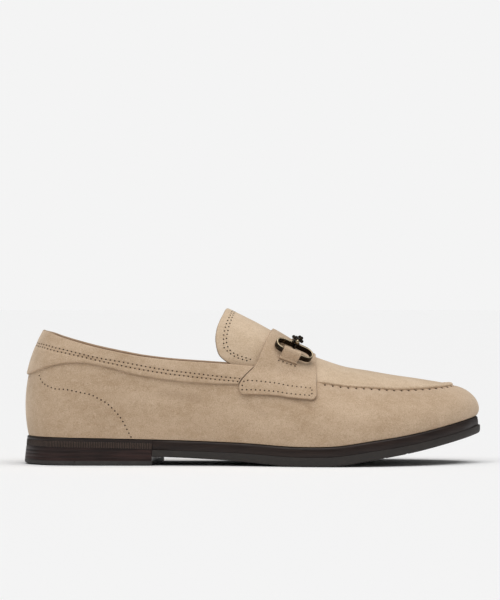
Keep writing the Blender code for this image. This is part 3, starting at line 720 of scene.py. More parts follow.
def joined(pieces: Sequence[bpy.types.Object], name: str) -> bpy.types.Object:
    """One piece from several.

    Args:
        pieces: the pieces.
        name: name of the whole.

    Returns:
        The whole.
    """
    deselect()
    for piece in pieces:
        piece.select_set(True)
    bpy.context.view_layer.objects.active = pieces[0]
    if len(pieces) > 1:
        bpy.ops.object.join()
    whole = bpy.context.object
    whole.name = whole.data.name = name
    return whole


def shade(piece: bpy.types.Object, crease: float = 50.0) -> None:
    """Smooth shading that keeps edges sharper than the crease angle."""
    choose(piece)
    bpy.ops.object.shade_smooth_by_angle(angle=math.radians(crease))


def grid_normals(points: Array) -> Array:
    """Normals of a grid of points, from its own neighbours."""
    return unit(np.cross(np.gradient(points, axis=1), np.gradient(points, axis=0)))


def borders(points: Array) -> Array:
    """Distance of each point of a patch from the nearest of its four borders.

    Args:
        points: rows by columns of points.

    Returns:
        The distances.
    """
    across = np.linalg.norm(np.diff(points, axis=1), axis=-1).cumsum(1)
    across = np.concatenate([np.zeros((len(points), 1)), across], 1)
    down = np.linalg.norm(np.diff(points, axis=0), axis=-1).cumsum(0)
    down = np.concatenate([np.zeros((1, points.shape[1])), down], 0)
    nearest = np.minimum(across, across[:, -1:] - across)
    return np.minimum(nearest, np.minimum(down, down[-1:] - down))


def edge_steps(length: float, pitch: float, edge: float) -> Array:
    """Steps from 0 to 1 over a length, with a few fine ones to round off each end.

    Args:
        length: the length.
        pitch: size of a plain step.
        edge: length of the fine steps at an end.

    Returns:
        The steps.
    """
    fine = np.array([0.0, 0.06, 0.2, 0.45, 0.75, 1.0]) * edge / length
    count = max(3, int((length - 2 * edge) / pitch))
    inner = np.linspace(fine[-1], 1.0 - fine[-1], count + 1)[1:-1]
    return np.concatenate([fine, inner, 1.0 - fine[::-1]])


@dataclass
class Sheet:
    """A piece of leather laid on a surface, with rounded edges."""

    name: str
    thickness: float
    edge: float = 0.6 * MM
    lift: float = 0.0

    def build(self, base: Array, normals: Array, relief: Optional[Array] = None) -> bpy.types.Object:
        """Closed sheet over a patch of points.

        Args:
            base: rows by columns of points on the surface.
            normals: their directions outwards.
            relief: extra height of the outer face at each point.

        Returns:
            The welded piece, with how near its edge is as its tone.
        """
        distance = borders(base)
        t = np.clip(distance / self.edge, 0.0, 1.0)
        swell = np.sqrt(np.maximum(1.0 - (1.0 - t) ** 2, 0.0))
        extra = 0.0 if relief is None else relief * np.clip(distance / (1.5 * self.edge), 0.0, 1.0)
        outer = base + normals * (self.lift + self.thickness * (0.4 + 0.6 * swell) + extra)[..., None]
        inner = base + normals * (self.lift + self.thickness * (0.4 - 0.4 * swell))[..., None]
        # Tone near the border: a darker raw cut edge, and painted shade along the edge.
        tone = np.exp(-((distance / (0.45 * MM)) ** 2))
        piece = joined([laid(self.name, outer, tone), laid(self.name, inner, tone)], self.name)
        weld(piece)
        shade(piece)
        return piece


def swept(
    name: str,
    centres: Array,
    first: Array,
    second: Array,
    section: Array,
    closed: bool,
    tone: Optional[Array] = None,
) -> bpy.types.Object:
    """Section swept along a path.

    Args:
        name: name of the new piece.
        centres: points of the path.
        first: direction of the section's first axis at each point.
        second: direction of its second axis.
        section: sizes along the two axes, one list for all points or one for each.
        closed: whether the path ends where it starts.
        tone: a value for each corner of the section.

    Returns:
        The welded piece.
    """
    section = np.broadcast_to(section, (len(centres), *section.shape[-2:]))
    ring = centres[:, None] + first[:, None] * section[..., :1] + second[:, None] * section[..., 1:]
    ring = np.concatenate([ring, ring[:, :1]], 1)
    if closed:
        ring = np.concatenate([ring, ring[:1]], 0)
    else:
        start = np.broadcast_to(centres[0], ring[0].shape)
        end = np.broadcast_to(centres[-1], ring[0].shape)
        ring = np.concatenate([start[None], ring, end[None]], 0)
    if tone is not None:
        tone = np.append(tone, tone[0])[None, :]
    piece = laid(name, ring, tone)
    weld(piece)
    shade(piece)
    return piece


def rounded_section(width: float, height: float, power: float, count: int) -> Array:
    """Section between an ellipse and a rectangle.

    Args:
        width: its size along the first axis.
        height: its size along the second.
        power: 2 for an ellipse, more for squarer.
        count: its corners.

    Returns:
        The corners.
    """
    angle = np.linspace(0.0, 2 * math.pi, count, endpoint=False)
    c, s = np.cos(angle), np.sin(angle)
    scale = (np.abs(c) ** power + np.abs(s) ** power) ** (-1.0 / power)
    return np.stack([c * scale * width / 2, s * scale * height / 2], -1)


def evenly(points: Array, pitch: float) -> tuple[Array, Array]:
    """Even steps along a line of points.

    Args:
        points: the line.
        pitch: distance between steps.

    Returns:
        The place of each step, counted in points of the line, and its distance along it.
    """
    run = run_along(points)
    count = max(1, int(round(run[-1] / pitch)))
    steps = np.linspace(0.0, run[-1], count + 1)
    return np.interp(steps, run, np.arange(len(points))), steps


def stamped(name: str, template: bpy.types.Object, origins: Array, axes: Array) -> bpy.types.Object:
    """One mesh of many copies of a template, which is then deleted.

    Args:
        name: name of the new piece.
        template: the shape that repeats, around the origin.
        origins: where each copy goes.
        axes: for each copy, the three directions and sizes of the template's axes.

    Returns:
        The new piece.
    """
    mesh = template.data
    corners = np.array([v.co for v in mesh.vertices])
    faces = [tuple(p.vertices) for p in mesh.polygons]
    points = origins[:, None] + np.einsum("pk,nkd->npd", corners, axes)
    whole = bpy.data.meshes.new(name)
    many = [tuple(c + i * len(corners) for c in face) for i in range(len(origins)) for face in faces]
    whole.from_pydata(points.reshape(-1, 3).tolist(), [], many)
    bpy.data.objects.remove(template, do_unlink=True)
    piece = bpy.data.objects.new(name, whole)
    bpy.context.collection.objects.link(piece)
    shade(piece, 60.0)
    return piece


# Finishes
class Graph:
    """Short way to wire the nodes of one material."""

    def __init__(self, name: str) -> None:
        """Starts a material that holds a Principled shader alone.

        Args:
            name: name of the material.
        """
        self.material = bpy.data.materials.new(name)
        self.material.use_nodes = True
        self.tree = self.material.node_tree
        self.shader = self.tree.nodes["Principled BSDF"]
        self.place = self.tree.nodes.new("ShaderNodeTexCoord").outputs["Object"]

    def node(self, kind: str, links: dict, **values: object) -> bpy.types.Node:
        """New node with its inputs linked or set, and its own settings.

        Args:
            kind: Blender's name of the node.
            links: a socket or a value for each input.
            values: its settings.

        Returns:
            The node.
        """
        made = self.tree.nodes.new(kind)
        for key, value in values.items():
            setattr(made, key, value)
        for key, value in links.items():
            if isinstance(value, bpy.types.NodeSocket):
                self.tree.links.new(value, made.inputs[key])
            else:
                made.inputs[key].default_value = value
        return made

    def noise(
        self, scale: float, detail: float = 2.0, roughness: float = 0.5, stretch: Sequence[float] = (1, 1, 1)
    ) -> bpy.types.NodeSocket:
        """Noise of a scale, about one over the size of its spots in metres.

        Args:
            scale: the scale.
            detail: octaves.
            roughness: strength of the fine ones.
            stretch: scale by axis.

        Returns:
            The noise.
        """
        mapping = self.node("ShaderNodeMapping", {"Vector": self.place, "Scale": stretch})
        values = {"Vector": mapping.outputs[0], "Scale": scale, "Detail": detail, "Roughness": roughness}
        return self.node("ShaderNodeTexNoise", values).outputs["Fac"]

    def tone(self) -> bpy.types.NodeSocket:
        """The tone attribute of the piece."""
        return self.node("ShaderNodeAttribute", {}, attribute_name="tone").outputs["Fac"]

    def maths(self, operation: str, first: object, second: object) -> bpy.types.NodeSocket:
        """Result of one sum on two values."""
        made = self.node("ShaderNodeMath", {0: first, 1: second}, operation=operation)
        return made.outputs[0]

    def between(
        self,
        value: bpy.types.NodeSocket,
        low: float,
        high: float,
        out_low: float = 0.0,
        out_high: float = 1.0,
    ) -> bpy.types.NodeSocket:
        """Value mapped from one range to another, and kept inside it."""
        links = {"Value": value, "From Min": low, "From Max": high, "To Min": out_low, "To Max": out_high}
        return self.node("ShaderNodeMapRange", links).outputs["Result"]

    def mix(self, factor: object, first: object, second: object, blend: str = "MIX") -> bpy.types.NodeSocket:
        """Two colours mixed by a factor."""
        links = {0: factor, 6: first, 7: second}
        return self.node("ShaderNodeMix", links, data_type="RGBA", blend_type=blend).outputs[2]

    def bump(self, layers: Sequence[tuple[bpy.types.NodeSocket, float]]) -> None:
        """Heights in metres, added up and given to the shader's normal.

        Args:
            layers: heights from 0 to 1, each with its depth.
        """
        total = None
        for height, depth in layers:
            scaled = self.maths("MULTIPLY", height, depth)
            total = scaled if total is None else self.maths("ADD", total, scaled)
        made = self.node("ShaderNodeBump", {"Height": total, "Strength": 1.0, "Distance": 1.0})
        self.tree.links.new(made.outputs["Normal"], self.shader.inputs["Normal"])

    def surface(self, **links: object) -> None:
        """Sets or links the shader's own inputs, with spaces written as underlines.

        Args:
            links: a socket or a value for each input.
        """
        for key, value in links.items():
            socket = self.shader.inputs[key.replace("_", " ")]
            if isinstance(value, bpy.types.NodeSocket):
                self.tree.links.new(value, socket)
            else:
                socket.default_value = value


def colour(red: float, green: float, blue: float) -> tuple[float, float, float, float]:
    """Linear colour of one given as a screen shows it, from 0 to 255."""
    parts = [c / 255 / 12.92 if c <= 10 else ((c / 255 + 0.055) / 1.055) ** 2.4 for c in (red, green, blue)]
    return (*parts, 1.0)


@dataclass(frozen=True)
class Suede:
    """Napped leather: brushed patches, a fine grain and a soft sheen."""

    name: str = "sand_suede"
    base: tuple = (194, 167, 138)
    light: tuple = (220, 196, 170)
    dark: tuple = (164, 136, 107)
    # Raw cut edge colour, also painted shade: the tone mixes it into crease troughs, stitch dimples, the
    # grooves under stitch rows and along the edges of each piece.
    edge: tuple = (134, 103, 76)
    grain: float = 0.10 * MM

    def material(self) -> bpy.types.Material:
        """Material of the suede.

        Returns:
            The material.
        """
        graph = Graph(self.name)
        patches = graph.noise(38.0, 3.0, 0.55, (0.7, 1.0, 1.5))
        brushed = graph.noise(210.0, 3.0, 0.6, (0.8, 1.0, 1.2))
        speck = graph.noise(1500.0, 2.0, 0.6)
        nap = graph.noise(4200.0, 1.0, 0.5)
        tint = graph.mix(graph.between(patches, 0.36, 0.66), colour(*self.dark), colour(*self.light))
        tint = graph.mix(0.68, tint, colour(*self.base))
        tint = graph.mix(graph.between(brushed, 0.40, 0.66, 0.0, 0.30), tint, colour(*self.light))
        tint = graph.mix(graph.between(speck, 0.52, 0.70, 0.0, 0.60), tint, colour(*self.dark))
        tint = graph.mix(graph.between(speck, 0.46, 0.30, 0.0, 0.55), tint, colour(*self.light))
        # Darker where the tone is high: painted shade, and the darker raw cut edge at the borders.
        tint = graph.mix(graph.between(graph.tone(), 0.25, 1.0, 0.0, 0.7), tint, colour(*self.edge))
        graph.bump([(speck, 2.0 * self.grain), (nap, 0.6 * self.grain), (brushed, 1.2 * self.grain)])
        graph.surface(
            Base_Color=tint, Roughness=0.95, Sheen_Weight=0.60, Sheen_Roughness=0.50, Specular_IOR_Level=0.12
        )
        graph.shader.inputs["Sheen Tint"].default_value = colour(245, 232, 215)
        return graph.material


@dataclass(frozen=True)
class LiningLeather:
    """Smooth glove leather inside the shoe."""

    name: str = "brown_lining"
    base: tuple = (150, 112, 80)
    dark: tuple = (122, 88, 62)

    def material(self) -> bpy.types.Material:
        """Material of the lining.

        Returns:
            The material.
        """
        graph = Graph(self.name)
        patches = graph.noise(60.0, 3.0)
        pores = graph.noise(1300.0, 2.0, 0.6)
        tint = graph.mix(graph.between(patches, 0.35, 0.7), colour(*self.base), colour(*self.dark))
        tint = graph.mix(graph.between(pores, 0.56, 0.72, 0.0, 0.4), tint, colour(*self.dark))
        graph.bump([(pores, 0.06 * MM)])
        graph.surface(Base_Color=tint, Roughness=graph.between(pores, 0.3, 0.7, 0.52, 0.68))
        return graph.material


@dataclass(frozen=True)
class SoleEdge:
    """Burnished leather edge, drawn out lengthwise by the trimming wheel."""

    name: str
    base: tuple
    light: tuple
    streaks: float = 0.05 * MM
    mark: tuple = (30, 24, 22)

    def material(self) -> bpy.types.Material:
        """Material of the burnished edge.

        Returns:
            The material.
        """
        graph = Graph(self.name)
        streak = graph.noise(420.0, 3.0, 0.6, (0.06, 0.06, 1.0))
        fibre = graph.noise(2600.0, 2.0, 0.6)
        patch = graph.noise(75.0, 3.0, 0.55)
        tint = graph.mix(graph.between(streak, 0.4, 0.66), colour(*self.base), colour(*self.light))
        tint = graph.mix(graph.between(patch, 0.45, 0.7, 0.0, 0.35), tint, colour(*self.light))
        tint = graph.mix(graph.between(graph.tone(), 0.15, 0.85, 0.0, 0.9), tint, colour(*self.mark))
        graph.bump([(streak, self.streaks), (fibre, 0.02 * MM)])
        graph.surface(
            Base_Color=tint, Roughness=graph.between(patch, 0.35, 0.65, 0.36, 0.56),
            Coat_Weight=0.08, Coat_Roughness=0.28, Specular_IOR_Level=0.25,
        )
        return graph.material


@dataclass(frozen=True)
class Rubber:
    """Matt moulded rubber."""

    name: str = "grey_black_rubber"
    base: tuple = (42, 37, 34)
    dusty: tuple = (60, 54, 50)

    def material(self) -> bpy.types.Material:
        """Material of the rubber.

        Returns:
            The material.
        """
        graph = Graph(self.name)
        dust = graph.noise(140.0, 4.0, 0.6)
        fine = graph.noise(2600.0, 2.0, 0.6)
        tint = graph.mix(graph.between(dust, 0.45, 0.75, 0.0, 0.7), colour(*self.base), colour(*self.dusty))
        tint = graph.mix(graph.between(fine, 0.5, 0.8, 0.0, 0.3), tint, colour(*self.dusty))
        graph.bump([(fine, 0.04 * MM), (dust, 0.05 * MM)])
        graph.surface(Base_Color=tint, Roughness=graph.between(dust, 0.3, 0.7, 0.58, 0.74))
        return graph.material


@dataclass(frozen=True)
class AntiqueMetal:
    """Dark plated brass, worn bright on its high edges; the bright edges are partly painted highlight."""

    name: str = "antique_metal"
    dark: tuple = (44, 38, 33)
    # Bright brass colour: worn patches and edges, and also painted highlight on the ring edges and the middle
    # bead.
    worn: tuple = (196, 178, 148)

    def material(self) -> bpy.types.Material:
        """Material of the metal.

        Returns:
            The material.
        """
        graph = Graph(self.name)
        cloud = graph.noise(330.0, 4.0, 0.6)
        fine = graph.noise(2400.0, 2.0, 0.6)
        tint = graph.mix(graph.between(cloud, 0.55, 0.78, 0.0, 0.35), colour(*self.dark), colour(*self.worn))
        # Bright where the tone is high: worn edges and painted highlight.
        tint = graph.mix(graph.between(graph.tone(), 0.3, 1.0, 0.0, 0.9), tint, colour(*self.worn))
        graph.bump([(fine, 0.01 * MM), (cloud, 0.03 * MM)])
        graph.surface(Base_Color=tint, Metallic=1.0, Roughness=graph.between(cloud, 0.3, 0.7, 0.20, 0.36))
        return graph.material


@dataclass(frozen=True)
class Plain:
    """Even colour with a little speckle, for thread, the painted shade of needle holes, and the floor."""

    name: str
    base: tuple
    roughness: float = 0.9
    speckle: float = 0.2

    def material(self) -> bpy.types.Material:
        """Material of one colour.

        Returns:
            The material.
        """
        graph = Graph(self.name)
        fine = graph.noise(1900.0, 2.0)
        darker = tuple(0.8 * c for c in self.base)
        speckle = graph.between(fine, 0.4, 0.8, 0.0, self.speckle)
        tint = graph.mix(speckle, colour(*self.base), colour(*darker))
        graph.surface(Base_Color=tint, Roughness=self.roughness)
        return graph.material


class Finishes:
    """Every finish of the shoe, each made into a material once."""

    def __init__(self) -> None:
        """Makes all materials."""
        self.suede = Suede().material()
        # Lighter copy of the suede for the apron, its seam lip and the tongue: painted top light on these
        # faces that look up. Its last colour is raw edge and painted shade, as in the suede.
        self.pale_suede = Suede(
            "pale_sand_suede", (212, 187, 157), (234, 212, 187), (182, 155, 125), (146, 115, 87)
        ).material()
        self.lining = LiningLeather().material()
        self.midsole = SoleEdge("dark_brown_midsole", (32, 22, 19), (46, 34, 29)).material()
        self.rand = SoleEdge(
            "brown_black_rand", (30, 22, 19), (42, 33, 29), mark=(98, 82, 73)
        ).material()
        self.stack = SoleEdge("brown_black_stack", (32, 22, 20), (55, 37, 34)).material()
        self.rubber = Rubber().material()
        self.lift = Rubber("grey_top_lift", (48, 44, 42), (70, 66, 63)).material()
        self.metal = AntiqueMetal().material()
        self.thread = Plain("sand_thread", (198, 172, 141)).material()
        # Dark colour put at the needle holes: painted shade inside them.
        self.pinhole = Plain("dark_pinhole", (52, 34, 22), 1.0).material()


def dress(piece: bpy.types.Object, material: bpy.types.Material, slot: Slot, *nodes: str) -> None:
    """Gives a piece its finish and puts it on the shoe.

    Args:
        piece: the finished mesh.
        material: its only material.
        slot: the record's slot that the finish comes from; not used.
        nodes: the solids that it stands for.
    """
    piece.data.materials.clear()
    piece.data.materials.append(material)
    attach(piece, "root")
    if nodes:
        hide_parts(*nodes)
    LOG.info("%s: %d faces", piece.name, len(piece.data.polygons))


# Stitches
@dataclass
class Stitching:
    """Rows of stitches: a dark disc of painted hole shade at each end of a short sunk thread."""

    finishes: Finishes
    pitch: float = 2.9 * MM
    hole: float = 0.52 * MM
    thread: float = 0.25 * MM
    sink: float = 0.17 * MM

    def row(self, name: str, points: Array, normals: Array) -> None:
        """Stitches along a line on a surface.

        Args:
            name: name that the two new pieces begin with.
            points: the line, finely divided.
            normals: directions out of the surface, one for each point.
        """
        places, _ = evenly(points, self.pitch)
        index = np.arange(len(points))
        knots = np.stack([np.interp(places, index, points[:, k]) for k in range(3)], -1)
        up = unit(np.stack([np.interp(places, index, normals[:, k]) for k in range(3)], -1))
        along = unit(np.gradient(knots, axis=0))
        across = unit(np.cross(up, along))
        size = self.hole
        deselect()
        bpy.ops.mesh.primitive_circle_add(vertices=10, radius=1.0, fill_type="TRIFAN")
        disc = bpy.context.object
        axes = np.stack([along * size, across * size, up * size], 1)
        # Dark discs at the needle holes: painted shade of the holes.
        holes = stamped(f"{name}_pinholes", disc, knots + up * 0.03 * MM, axes)
        dress(holes, self.finishes.pinhole, Slot.SUEDE)
        middle = (knots[:-1] + knots[1:]) / 2
        lift = unit(up[:-1] + up[1:])
        run = knots[1:] - knots[:-1]
        side = unit(np.cross(lift, run))
        bpy.ops.mesh.primitive_uv_sphere_add(segments=8, ring_count=6, radius=1.0)
        bead = bpy.context.object
        half = np.linalg.norm(run, axis=-1, keepdims=True) / 2 - self.hole * 0.55
        axes = np.stack([unit(run) * half, side * self.thread, lift * self.thread], 1)
        threads = stamped(f"{name}_thread", bead, middle - lift * self.sink, axes)
        dress(threads, self.finishes.thread, Slot.SUEDE)


# Upper
@dataclass
class Crease:
    """A soft trough or ridge on the wall, by its ends in shares of length and height."""

    start: tuple
    end: tuple
    width: float
    depth: float

    def height(self, share: Array, v: Array, height: float = 0.055) -> Array:
        """How far the crease moves each place of the wall outwards.

        Args:
            share: places along the shoe.
            v: places up the wall.
            height: height of the wall, roughly.

        Returns:
            The distances.
        """
        length = LAST.length
        ax, ay = self.start[0] * length, self.start[1] * height
        bx, by = self.end[0] * length, self.end[1] * height
        px, py = share * length, v * height
        run = (bx - ax) ** 2 + (by - ay) ** 2
        t = np.clip(((px - ax) * (bx - ax) + (py - ay) * (by - ay)) / run, 0.0, 1.0)
        gap = np.hypot(px - ax - t * (bx - ax), py - ay - t * (by - ay))
        fade = ease(t / 0.3) * ease((1.0 - t) / 0.3)
        return -self.depth * np.exp(-((gap / self.width) ** 2)) * fade


LATERAL_CREASES = (
    Crease((0.585, 0.72), (0.660, 0.42), 3.6 * MM, 0.40 * MM),
    Crease((0.615, 0.80), (0.700, 0.50), 3.2 * MM, 0.32 * MM),
    Crease((0.470, 0.60), (0.555, 0.30), 5.0 * MM, 0.35 * MM),
    Crease((0.250, 0.62), (0.420, 0.50), 6.0 * MM, 0.45 * MM),
    Crease((0.120, 0.60), (0.200, 0.30), 5.0 * MM, -0.30 * MM),
    Crease((0.300, 0.28), (0.450, 0.20), 6.0 * MM, -0.30 * MM),
    Crease((0.700, 0.62), (0.780, 0.34), 3.4 * MM, 0.22 * MM),
)
MEDIAL_CREASES = (
    Crease((0.590, 0.74), (0.670, 0.44), 3.6 * MM, 0.38 * MM),
    Crease((0.640, 0.78), (0.720, 0.50), 3.0 * MM, 0.28 * MM),
    Crease((0.280, 0.60), (0.450, 0.46), 6.0 * MM, 0.45 * MM),
    Crease((0.480, 0.56), (0.560, 0.28), 5.0 * MM, 0.30 * MM),
)


def creased(angle: Array, v: Array) -> Array:
    """How far the creases move the wall outwards, at each place of it.

    Args:
        angle: places around the shoe.
        v: places up the wall.

    Returns:
        The distances.
    """
    angle = (angle + math.pi) % (2 * math.pi) - math.pi
    share = share_of(np.abs(angle))
    total = np.zeros_like(share)
    for crease in LATERAL_CREASES:
        total += np.where(angle < 0, crease.height(share, v), 0.0)
    for crease in MEDIAL_CREASES:
        total += np.where(angle < 0, 0.0, crease.height(share, v))
    return total


@dataclass
class Upper:
    """Quarter and vamp wall, apron, raised seam and lining."""

    finishes: Finishes
    leather: float = 1.05 * MM
    lining: float = 0.90 * MM
    columns: int = 940
    seam_pitch: float = 5.0 * MM
    seam_below: float = 2.3 * MM
    seam_start: float = 0.655
    lip: float = 1.45 * MM
    apron_rear: float = 0.166
    under_band: float = 3.0 * MM
    dimple_deep: float = 0.48 * MM
    dimple_wide: float = 1.20 * MM
    pucker_deep: float = 0.35 * MM
    pucker_wide: float = 1.6 * MM

    def seam_line(self) -> tuple[Array, Array]:
        """Apron seam from the lateral strap edge round the toe to the medial one.

        Returns:
            The line's angles, without their wrap, and its points.
        """
        start = float(turn_of(self.seam_start + 0.004))
        angles = np.linspace(-start, start - 2 * math.pi, 1600)
        return angles, LAST.rim(angles)

    def stitch_angles(self) -> Array:
        """Angles of the hand stitches along the seam.

        Returns:
            The angles.
        """
        angles, line = self.seam_line()
        places, _ = evenly(line, self.seam_pitch)
        return np.interp(places[1:-1], np.arange(len(angles)), angles)

    def dimples(self, points: Array, centres: Array) -> Array:
        """Depth that the hand stitches press into a surface.

        Args:
            points: points of the surface.
            centres: where the stitches are.

        Returns:
            The depths, below zero.
        """
        total = np.zeros(points.shape[:2])
        for centre in centres:
            gap = np.linalg.norm(points - centre, axis=-1)
            total -= self.dimple_deep * np.exp(-((gap / self.dimple_wide) ** 2))
        return total

    def build_wall(self) -> None:
        """Suede wall round the whole shoe, one closed band of leather."""
        angle = np.linspace(-math.pi, math.pi, self.columns + 1)
        steps = np.concatenate([np.linspace(0.0, 0.80, 40), np.linspace(0.80, 1.0, 22)[1:]])
        turn = np.abs(angle)
        sunk = self.under_band * (1.0 - ease((share_of(turn) - 0.47) / 0.02))
        end = LAST.below(angle, sunk)
        v = steps[:, None] * end[None, :]
        grid_angle = np.broadcast_to(angle, v.shape)
        base = LAST.wall_base(grid_angle, v)
        normals = LAST.wall_normal(grid_angle, v)
        stitches = self.stitch_angles()
        relief = creased(grid_angle, v)
        for below in (self.seam_below - 0.7 * MM, self.seam_below + 0.8 * MM):
            relief += self.dimples(base, LAST.wall_base(stitches, LAST.below(stitches, below + 0 * stitches)))
        outer = base + normals * relief[..., None]
        inner = base - normals * self.leather
        # Tone in crease troughs and stitch dimples, by how far they sink: painted shade.
        tone = np.clip(-relief / (0.8 * MM), 0.0, 1.0) * 0.8
        section = np.concatenate([outer, inner[::-4], outer[:1]], 0)
        tones = np.concatenate([tone, tone[::-4] * 0, tone[:1]], 0)
        piece = laid("vamp_and_quarter", section, tones)
        weld(piece)
        shade(piece)
        dress(piece, self.finishes.suede, Slot.SUEDE, "upper")

    def build_apron(self) -> None:
        """Suede apron over the toes, its edge gathered under the seam."""
        start = LAST.turn_at(self.apron_rear)
        turn = start + (math.pi - start) * np.sin(np.linspace(0.0, math.pi / 2, 150))
        c = np.sin(np.linspace(-math.pi / 2, math.pi / 2, 121))
        c = 0.55 * c + 0.45 * np.linspace(-1.0, 1.0, 121)
        grid_turn, grid_c = np.meshgrid(turn, c, indexing="ij")
        base = LAST.arch_base(grid_turn, grid_c)
        normals = LAST.arch_normal(grid_turn, grid_c)
        stitches = self.stitch_angles()
        side = np.where((stitches + math.pi) % (2 * math.pi) - math.pi < 0, -1.0, 1.0)
        turns = np.abs((stitches + math.pi) % (2 * math.pi) - math.pi)
        centres = LAST.arch_base(turns, side * 0.93)
        total = np.zeros(base.shape[:2])
        for centre in centres:
            gap = np.linalg.norm(base - centre, axis=-1)
            total -= self.pucker_deep * np.exp(-((gap / self.pucker_wide) ** 2))
        outer = base + normals * total[..., None]
        inner = base - normals * self.leather
        piece = joined([laid("apron", outer), laid("apron", inner)], "apron")
        weld(piece)
        shade(piece)
        # Top-lit copy of the suede: painted top light on the apron.
        dress(piece, self.finishes.pale_suede, Slot.SUEDE)

    def build_lip(self) -> None:
        """Plump rolled lip of the apron seam, puckered between the stitches."""
        angles, line = self.seam_line()
        places, steps = evenly(line, 0.55 * MM)
        angles = np.interp(places, np.arange(len(angles)), angles)
        centre = LAST.rim(angles)
        wrapped = (angles + math.pi) % (2 * math.pi) - math.pi
        up = LAST.seam_normal(wrapped)
        along = unit(np.gradient(centre, axis=0))
        out = unit(np.cross(along, up))
        near = share_of(np.abs(wrapped))
        size = self.lip * (0.72 + 0.38 * ease((near - 0.66) / 0.30))
        ends = ease(steps / (6.0 * MM)) * ease((steps[-1] - steps) / (6.0 * MM))
        total = steps[-1]
        count = round(total / self.seam_pitch)
        wave = np.cos(2 * math.pi * steps * count / total)
        pucker = 1.0 - 0.10 * wave - 0.05 * np.sin(2 * math.pi * steps * count / total * 2.0 + 0.7)
        pucker = 1.0 + (pucker - 1.0) * (1.0 - 0.7 * ease((near - 0.965) / 0.03))
        size = size * (0.35 + 0.65 * ends) * pucker * (1.0 - 0.22 * ease((near - 0.95) / 0.05))
        section = rounded_section(2.0, 2.0, 2.3, 14)[None] * size[:, None, None]
        middle = centre + up * (size * 0.42)[:, None]
        piece = swept("apron_seam_lip", middle, up, out, section, False)
        # Top-lit copy of the suede: painted top light on the seam lip.
        dress(piece, self.finishes.pale_suede, Slot.SUEDE)

    def build_seam_pinholes(self) -> None:
        """Dark spots at the hand stitches in the wall, under the lip: painted shade of their needle holes."""
        stitches = self.stitch_angles()
        v = LAST.below(stitches, self.seam_below + 0 * stitches)
        place = LAST.wall(stitches, v, -0.35 * MM + 0 * stitches)
        normal = LAST.wall_normal(stitches, v)
        rim = LAST.rim(stitches)
        up = unit(rim - place)
        side = unit(np.cross(up, normal))
        deselect()
        bpy.ops.mesh.primitive_uv_sphere_add(segments=10, ring_count=8, radius=1.0)
        axes = np.stack([side * 0.52 * MM, up * 0.66 * MM, normal * 0.30 * MM], 1)
        # Dark ellipsoids at the stitches: painted shade of the needle holes.
        holes = stamped("apron_seam_pinholes", bpy.context.object, place, axes)
        dress(holes, self.finishes.pinhole, Slot.SUEDE)

    def build_lining(self) -> None:
        """Lining of the wall and the apron, one closed band and one sheet."""
        angle = np.linspace(-math.pi, math.pi, 361)
        steps = np.linspace(0.0, 1.0, 34)
        turn = np.abs(angle)
        sunk = 0.35 * MM + 1.0 * MM * ease((share_of(turn) - 0.50) / 0.02)
        end = LAST.below(angle, sunk)
        v = steps[:, None] * end[None, :]
        grid_angle = np.broadcast_to(angle, v.shape)
        base = LAST.wall_base(grid_angle, v)
        normals = LAST.wall_normal(grid_angle, v)
        foot = np.array([0.0, 0.0, 1.0]) * (2.0 * MM * (1.0 - ease(v / 0.06)))[..., None]
        outer = base - normals * (self.leather + 0.05 * MM) + foot
        inner = base - normals * (self.leather + self.lining) + foot
        section = np.concatenate([outer, inner[::-1], outer[:1]], 0)
        band = laid("lining", section)
        weld(band)
        start = LAST.turn_at(self.apron_rear)
        turn = start + (math.pi - start) * np.sin(np.linspace(0.0, math.pi / 2, 60))
        c = np.linspace(-0.985, 0.985, 41)
        grid_turn, grid_c = np.meshgrid(turn, c, indexing="ij")
        base = LAST.arch_base(grid_turn, grid_c)
        normals = LAST.arch_normal(grid_turn, grid_c)
        roof = Sheet("lining_roof", self.lining, 0.4 * MM, -self.leather - self.lining)
        piece = joined([band, roof.build(base, normals)], "lining")
        shade(piece)
        dress(piece, self.finishes.lining, Slot.LINING)

    def build(self) -> None:
        """Builds every piece of the upper."""
        self.build_wall()
        self.build_apron()
        self.build_lip()
        self.build_lining()
        self.build_seam_pinholes()


COLLAR_ROWS = (
    ((40.8, 344.5), (53, 347.6), (65.8, 350.6), (78.6, 353.9), (91.3, 357.2), (105, 359.8),
     (118.4, 361.8), (162.7, 370), (204, 375.1), (232.7, 378.7), (246, 380.2)),
    ((49, 350.1), (60.7, 352.7), (73.5, 355.2), (86.7, 358.5), (100.5, 361.6), (114.3, 364.6),
     (127.6, 367.4), (163.3, 373.6), (209.2, 379.2), (237.8, 382.2), (246, 383.0)),
)
COUNTER_ROW = (
    (39.3, 375.6), (42.3, 382.2), (48.5, 386.3), (55.6, 388.9), (64.3, 389.4), (73, 390.9),
    (81.6, 392.8), (90.3, 394.5), (98, 398.4), (105.6, 402.4), (112.2, 408.3), (118.4, 414.9),
    (124, 423.6), (128, 431.7), (131, 437),
)
TONGUE_ROWS = (
    ((228.5, 318.5), (225.4, 327), (223.5, 338), (224, 347), (227.3, 351), (231, 354),
     (236.6, 357.4), (246.8, 360.6)),
    ((233, 315), (228.6, 327.6), (226.4, 340.5), (228.5, 348.3), (235.6, 354.2), (245.5, 357.7),
     (250.3, 359.3)),
)


